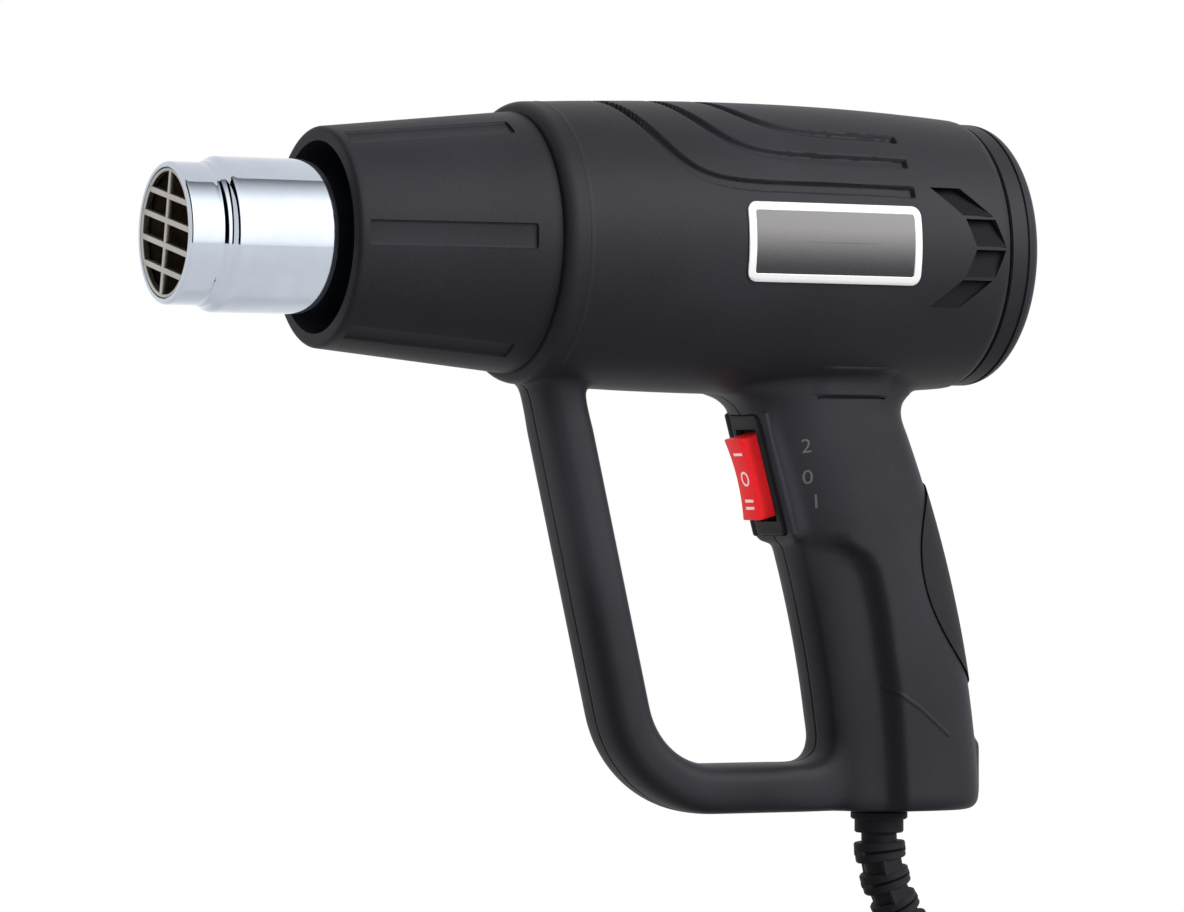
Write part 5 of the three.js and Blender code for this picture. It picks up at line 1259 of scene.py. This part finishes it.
def makeBadge():
    b = badge
    face, top, wide = b["proud"] - b["plateDrop"], b["proud"], b["border"]
    rings = [(inset, face) for inset in steps(*b["rings"])]
    plate, inner = badgeRing([(0, -b["plateRoot"]), (0, face)] + rings)
    bmesh.ops.edgeloop_fill(plate, edges=inner)
    bmesh.ops.holes_fill(plate, edges=[e for e in plate.edges if e.is_boundary])
    outwards(plate)
    gap, side, root = b["borderGap"], top - b["borderSide"], -b["borderRoot"]
    border, _ = badgeRing([(gap, root), (gap, side), (gap + b["borderTop"], top), (wide / 2, top),
                           (wide - b["borderTop"], top), (wide, side), (wide, root)])
    bmesh.ops.bridge_loops(border, edges=[e for e in border.edges if e.is_boundary])
    outwards(border)
    return link("badgePlate", plate, badgeFilmAndSheen, crispEdge), link("badgeBorder", border, whiteInk, crispEdge)


# Printed film: dark grey, lightened to a lighter grey along its upper edge by a painted reflection
def filmAndSheenMaterial():
    material, tree = newTree("badgeFilmAndSheen")
    where = addNode(tree, "ShaderNodeTexCoord", {}).outputs["Object"]
    split = addNode(tree, "ShaderNodeSeparateXYZ", {}, {"Vector": where})
    # The rise from dark to light grey up the plate is a painted reflection
    low, high = (toFrame(0, 0, z).z for z in badge["fade"])
    fade = addNode(tree, "ShaderNodeMapRange",
                   {"From Min": low, "From Max": high, "interpolation_type": "SMOOTHSTEP"},
                   {"Value": split.outputs["Z"]})
    speck = noise(tree, where, badge["speck"], mottling["fineDetail"])
    shade = addNode(tree, "ShaderNodeMath", {"operation": "MULTIPLY_ADD", 1: badge["speckShare"]},
                    {0: speck.outputs["Fac"], 2: fade.outputs[0]})
    colour = addNode(tree, "ShaderNodeValToRGB", {}, {"Fac": shade.outputs[0]})
    for stop, code in zip(colour.color_ramp.elements, badge["film"]):
        stop.color = srgb(code)
    shader = addNode(tree, "ShaderNodeBsdfPrincipled", {"Roughness": badge["gloss"], "IOR": 1.5, **lowSheen},
                     {"Base Color": colour.outputs[0]})
    addNode(tree, "ShaderNodeOutputMaterial", {}, {"Surface": shader.outputs[0]})
    return material


badgeFilmAndSheen = filmAndSheenMaterial()
badgePlate, badgeBorder = makeBadge()
for obj in (badgePlate, badgeBorder):
    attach(obj, "housing")
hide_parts("badge_plate")
print("badge laid")


# Rocker switch in its own frame. The case's blocks give x, then half width, half length and edge.
case = {"bezel": ((-1, 1), 7, 15.5), "bezelCorner": 1.5, "bezelEdge": 0.45,
        "body": ((0.5, 17), 5.9, 13.5, 0.4), "window": ((-3, 8.8), 5.2, 11.9, 0.3)}
rocker = {"length": 21, "width": 9.4, "dish": 5.5, "rise": 3.2, "bezelProud": 1, "pivotDepth": 3,
          "skirt": 3.5, "skirtHalf": 6, "edge": 0.5}


def caseBlock(x, half, halfLength, edge=0.0):
    return block(*x, -half, half, -halfLength, halfLength, edge)


def makeSwitchCase():
    bezel = caseBlock(*case["bezel"])
    bevel(bezel, edgesAlong(bezel, 0, 1), case["bezelCorner"], 5)
    face = min(v.co.x for v in bezel.verts)
    front = [e for e in bezel.edges if all(v.co.x < face + 0.1 for v in e.verts)]
    bevel(bezel, front, case["bezelEdge"], 3)
    obj = tool(join(bezel, caseBlock(*case["body"])))
    carve(obj, tool(caseBlock(*case["window"])))
    bm = meshOf(obj)
    bmesh.ops.transform(bm, matrix=switchPlace, verts=bm.verts)
    return link("switchCase", bm, switchNylon, crispEdge)


def rockerFace(z):
    half = rocker["length"] / 2
    middle = -rocker["bezelProud"] - rocker["rise"]
    return middle - half * math.tan(radians(rocker["dish"])) * (z / half) ** 2


def makeRocker():
    half, skirtHalf = rocker["length"] / 2, rocker["skirtHalf"]
    pivotX = rocker["pivotDepth"] - rocker["bezelProud"]
    skirtX = pivotX + rocker["skirt"]
    bm = bmesh.new()
    outline = [(rockerFace(z), z) for z in steps(half, -half, 24)]
    outline += [(pivotX, -half), (skirtX, -skirtHalf), (skirtX, skirtHalf), (pivotX, half)]
    face = bm.faces.new([bm.verts.new((x, -rocker["width"] / 2, z)) for x, z in outline])
    made = bmesh.ops.extrude_face_region(bm, geom=[face])["geom"]
    bmesh.ops.translate(bm, vec=(0, rocker["width"], 0), verts=onlyVerts(made))
    outwards(bm)
    bevel(bm, [e for e in bm.edges if e.calc_face_angle(0) > radians(30)], rocker["edge"], 3)
    bmesh.ops.transform(bm, matrix=switchPlace, verts=bm.verts)
    return link("switchRocker", bm, rockerRed, softEdge)


# Marks on the rocker: one bar, a ring and two bars, a hair proud of the face
marks = {"barLength": 4.2, "barWidth": 0.7, "places": [6.4, -5.6, -7.4], "ring": 1.9, "ringWidth": 0.55,
         "ringSides": 48, "proud": 0.1, "sunk": 0.4}


def makeMarks():
    m = marks
    deep = 1  # until each vertex is laid over or under the face
    bm = bmesh.new()
    for z in m["places"]:
        z0, z1 = z - m["barWidth"] / 2, z + m["barWidth"] / 2
        join(bm, block(-deep, deep, -m["barLength"] / 2, m["barLength"] / 2, z0, z1))
    ring = bmesh.new()
    bmesh.ops.create_circle(ring, segments=m["ringSides"], radius=m["ring"])
    made = bmesh.ops.extrude_edge_only(ring, edges=ring.edges[:])["geom"]
    bmesh.ops.scale(ring, vec=(1 - m["ringWidth"] / m["ring"],) * 3, verts=onlyVerts(made))
    turn(ring, 90, "Y")
    outwards(ring)
    bmesh.ops.solidify(ring, geom=ring.faces[:], thickness=deep)  # to either side, by chance
    join(bm, ring)
    middle = sum(v.co.x for v in bm.verts) / len(bm.verts)
    for vert in bm.verts:
        inside = vert.co.x > middle
        vert.co.x = rockerFace(vert.co.z) + (m["sunk"] if inside else -m["proud"])
    outwards(bm)
    bmesh.ops.transform(bm, matrix=switchPlace, verts=bm.verts)
    return link("rockerMarks", bm, paleInk, crispEdge)


switchCase, switchRocker, rockerMarks = makeSwitchCase(), makeRocker(), makeMarks()
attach(switchCase, "housing")
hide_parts("switch_case")
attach(switchRocker, "rocker")
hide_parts("switch_rocker")
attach(rockerMarks, "rocker")
print("switch made")


# CAD pieces that stay: each gets the finish of what it is, by how its name starts
finishes = {
    "motor_can": platedSteel, "motor_shaft": platedSteel, "motor_end_cap": creamNylon,
    "motor_bush": plainBrass, "motor_magnet": ferrite, "motor_screw": platedSteel,
    "armature": copperWinding, "commutator": copperWinding, "fan": switchNylon, "air_duct": switchNylon,
    "rectifier": boardLaminate, "suppressor": capacitorEpoxy, "lead_live": leadBrown,
    "lead_neutral": leadBlue, "lead_heater": leadRed, "cord_inner": cordPvc, "cord_clamp": switchNylon,
    "clamp_screw": platedSteel, "housing_screw": platedSteel, "mica": brownMica, "heater_coil": heaterWire,
    "thermal_cutout": plainBrass, "switch_terminal": plainBrass, "plug_pin": plainBrass,
}
for name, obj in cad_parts.items():
    for start, finish in finishes.items():
        if name.startswith(start):
            obj.data.materials.clear()
            obj.data.materials.append(finish)
print("solids finished")


# Stage, in metres: a pale floor, three soft boxes, a narrow light on the rocker, a bounce card that
# only reflections see, and a plain world
stage = {"floorSize": 6, "floorDrop": 0.0004, "floor": "#f6f6f6", "floorBounce": "#6a6a6a", "nearGlow": 0.6,
         "near": 0.25, "far": 0.9, "worldDiffuse": 0.09}
card = {"radius": 0.75, "low": -20, "high": 88, "x0": -0.75, "x1": 1.2, "brightX": (-0.24, 0.85), "edge": 0.1,
        "steps": 24,
        "levels": [(0.0, 1.1), (0.08, 1.6), (0.4, 2.2), (0.66, 1.7), (0.84, 0.9), (0.95, 0.4), (1.0, 0.25)]}
# Soft boxes: place, aim, size, power and whether the chrome mirrors it
softBoxes = {"keyBox": ((0.75, -1.05, 0.8), (-0.05, 0, 0.05), (1.0, 1.2), 33, True),
             "fillBox": ((-1.2, -0.7, -0.02), (-0.03, 0, 0.03), (0.5, 0.4), 3.5, False),
             "backBox": ((0.1, 1.3, 0.55), (-0.05, 0, 0.03), (1.0, 0.8), 12, False)}
rockerLight = {"place": (-1.2, -0.7, 0.0), "aim": (-0.040, 0, 0.031), "power": 46, "angle": 3.4, "soft": 0.01}


def addStage(name, bm, material):
    mesh = bpy.data.meshes.new(name)
    bm.to_mesh(mesh)
    bm.free()
    mesh.materials.append(material)
    obj = bpy.data.objects.new(name, mesh)
    scene.collection.objects.link(obj)
    return obj


def setFloor():
    bm = bmesh.new()
    bmesh.ops.create_grid(bm, x_segments=1, y_segments=1, size=stage["floorSize"])
    bmesh.ops.translate(bm, vec=(0, 0, toFrame(0, 0, surfaceZ).z - stage["floorDrop"]), verts=bm.verts)
    material, tree = newTree("paleFloor")
    path = addNode(tree, "ShaderNodeLightPath", {}).outputs
    tone = blend(tree, path["Is Diffuse Ray"], stage["floor"], stage["floorBounce"])
    matt = addNode(tree, "ShaderNodeBsdfDiffuse", {}, {"Color": tone})
    glow = addNode(tree, "ShaderNodeEmission", {"Color": (1, 1, 1, 1), "Strength": 1.0})
    where = addNode(tree, "ShaderNodeTexCoord", {}).outputs["Object"]
    away = addNode(tree, "ShaderNodeVectorMath", {"operation": "LENGTH"}, {0: where})
    fade = addNode(tree, "ShaderNodeMapRange",
                   {"interpolation_type": "SMOOTHSTEP", "From Min": stage["near"], "From Max": stage["far"],
                    "To Min": stage["nearGlow"], "To Max": 1.0}, {"Value": away.outputs["Value"]})
    seen = mathNode(tree, "MAXIMUM", path["Is Camera Ray"], path["Is Glossy Ray"])
    share = mathNode(tree, "MULTIPLY", seen, fade.outputs[0])
    mixed = addNode(tree, "ShaderNodeMixShader", {}, {0: share, 1: matt.outputs[0], 2: glow.outputs[0]})
    addNode(tree, "ShaderNodeOutputMaterial", {}, {"Surface": mixed.outputs[0]})
    addStage("floor", bm, material)


# The card bends round the barrel axis on the camera's side. It is bright in its middle and dark at
# its ends, so that the chrome shows a clear band with dark lines where its surface turns.
def setCard():
    bm = bmesh.new()
    points = [bm.verts.new((x, -card["radius"], 0)) for x in (card["x0"], card["x1"])]
    line = bm.edges.new(points)
    turn(bm, -card["low"], "X")
    bmesh.ops.spin(bm, geom=points + [line], cent=(0, 0, 0), axis=(-1, 0, 0),
                   angle=radians(card["high"] - card["low"]), steps=card["steps"])
    axisZ = toFrame(0, 0, 0).z
    bmesh.ops.translate(bm, vec=(0, 0, axisZ), verts=bm.verts)
    material, tree = newTree("bounceCard")
    where = addNode(tree, "ShaderNodeTexCoord", {}).outputs["Object"]
    split = addNode(tree, "ShaderNodeSeparateXYZ", {}, {"Vector": where})
    rise = mathNode(tree, "SUBTRACT", split.outputs["Z"], axisZ)
    angle = mathNode(tree, "ARCTAN2", rise, mathNode(tree, "MULTIPLY", split.outputs["Y"], -1.0))
    height = addNode(tree, "ShaderNodeMapRange",
                     {"From Min": radians(card["low"]), "From Max": radians(card["high"])}, {"Value": angle})
    level = addNode(tree, "ShaderNodeValToRGB", {}, {"Fac": height.outputs[0]})
    ramp = level.color_ramp.elements
    brightest = max(value for _, value in card["levels"])
    for i, (place, value) in enumerate(card["levels"]):
        stop = ramp[i] if i < 2 else ramp.new(place)
        stop.position = place
        stop.color = [value / brightest] * 3 + [1]
    strength = brightest
    for bright, dark in zip(card["brightX"], (-card["edge"], card["edge"])):
        end = addNode(tree, "ShaderNodeMapRange", {"From Min": bright + dark, "From Max": bright},
                      {"Value": split.outputs["X"]})
        strength = mathNode(tree, "MULTIPLY", end.outputs[0], strength)
    glow = addNode(tree, "ShaderNodeEmission", {}, {"Color": level.outputs[0], "Strength": strength})
    addNode(tree, "ShaderNodeOutputMaterial", {}, {"Surface": glow.outputs[0]})
    obj = addStage("bounceCard", bm, material)
    obj.visible_camera = obj.visible_diffuse = obj.visible_shadow = obj.visible_transmission = False


def setWorld():
    world = bpy.data.worlds.new("studio")
    scene.world = world
    world.use_nodes = True
    tree = world.node_tree
    tree.nodes.clear()
    path = addNode(tree, "ShaderNodeLightPath", {}).outputs
    seen = mathNode(tree, "MAXIMUM", path["Is Camera Ray"], path["Is Glossy Ray"])
    seen = mathNode(tree, "MAXIMUM", seen, path["Is Transmission Ray"])
    dim = addNode(tree, "ShaderNodeBackground", {"Color": (1, 1, 1, 1), "Strength": stage["worldDiffuse"]})
    white = addNode(tree, "ShaderNodeBackground", {"Color": (1, 1, 1, 1), "Strength": 1.0})
    mixed = addNode(tree, "ShaderNodeMixShader", {}, {0: seen, 1: dim.outputs[0], 2: white.outputs[0]})
    addNode(tree, "ShaderNodeOutputWorld", {}, {"Surface": mixed.outputs[0]})


def addLamp(data, place, aim, mirrored):
    lamp = bpy.data.objects.new(data.name, data)
    scene.collection.objects.link(lamp)
    lamp.location = Vector(place)
    lamp.rotation_euler = (Vector(aim) - Vector(place)).to_track_quat("-Z", "Y").to_euler()
    lamp.visible_glossy = mirrored


def setSoftBoxes():
    for name, (place, aim, size, power, mirrored) in softBoxes.items():
        data = bpy.data.lights.new(name, "AREA")
        data.shape = "RECTANGLE"
        data.size, data.size_y = size
        data.energy = power
        addLamp(data, place, aim, mirrored)


# A narrow light from ahead that lifts the rocker's front face
def setRockerLight():
    data = bpy.data.lights.new("rockerLight", "SPOT")
    data.energy = rockerLight["power"]
    data.spot_size = radians(rockerLight["angle"])
    data.spot_blend = 1.0
    data.shadow_soft_size = rockerLight["soft"]
    addLamp(data, rockerLight["place"], rockerLight["aim"], False)


setFloor()
setCard()
setWorld()
setSoftBoxes()
setRockerLight()
print("stage set")
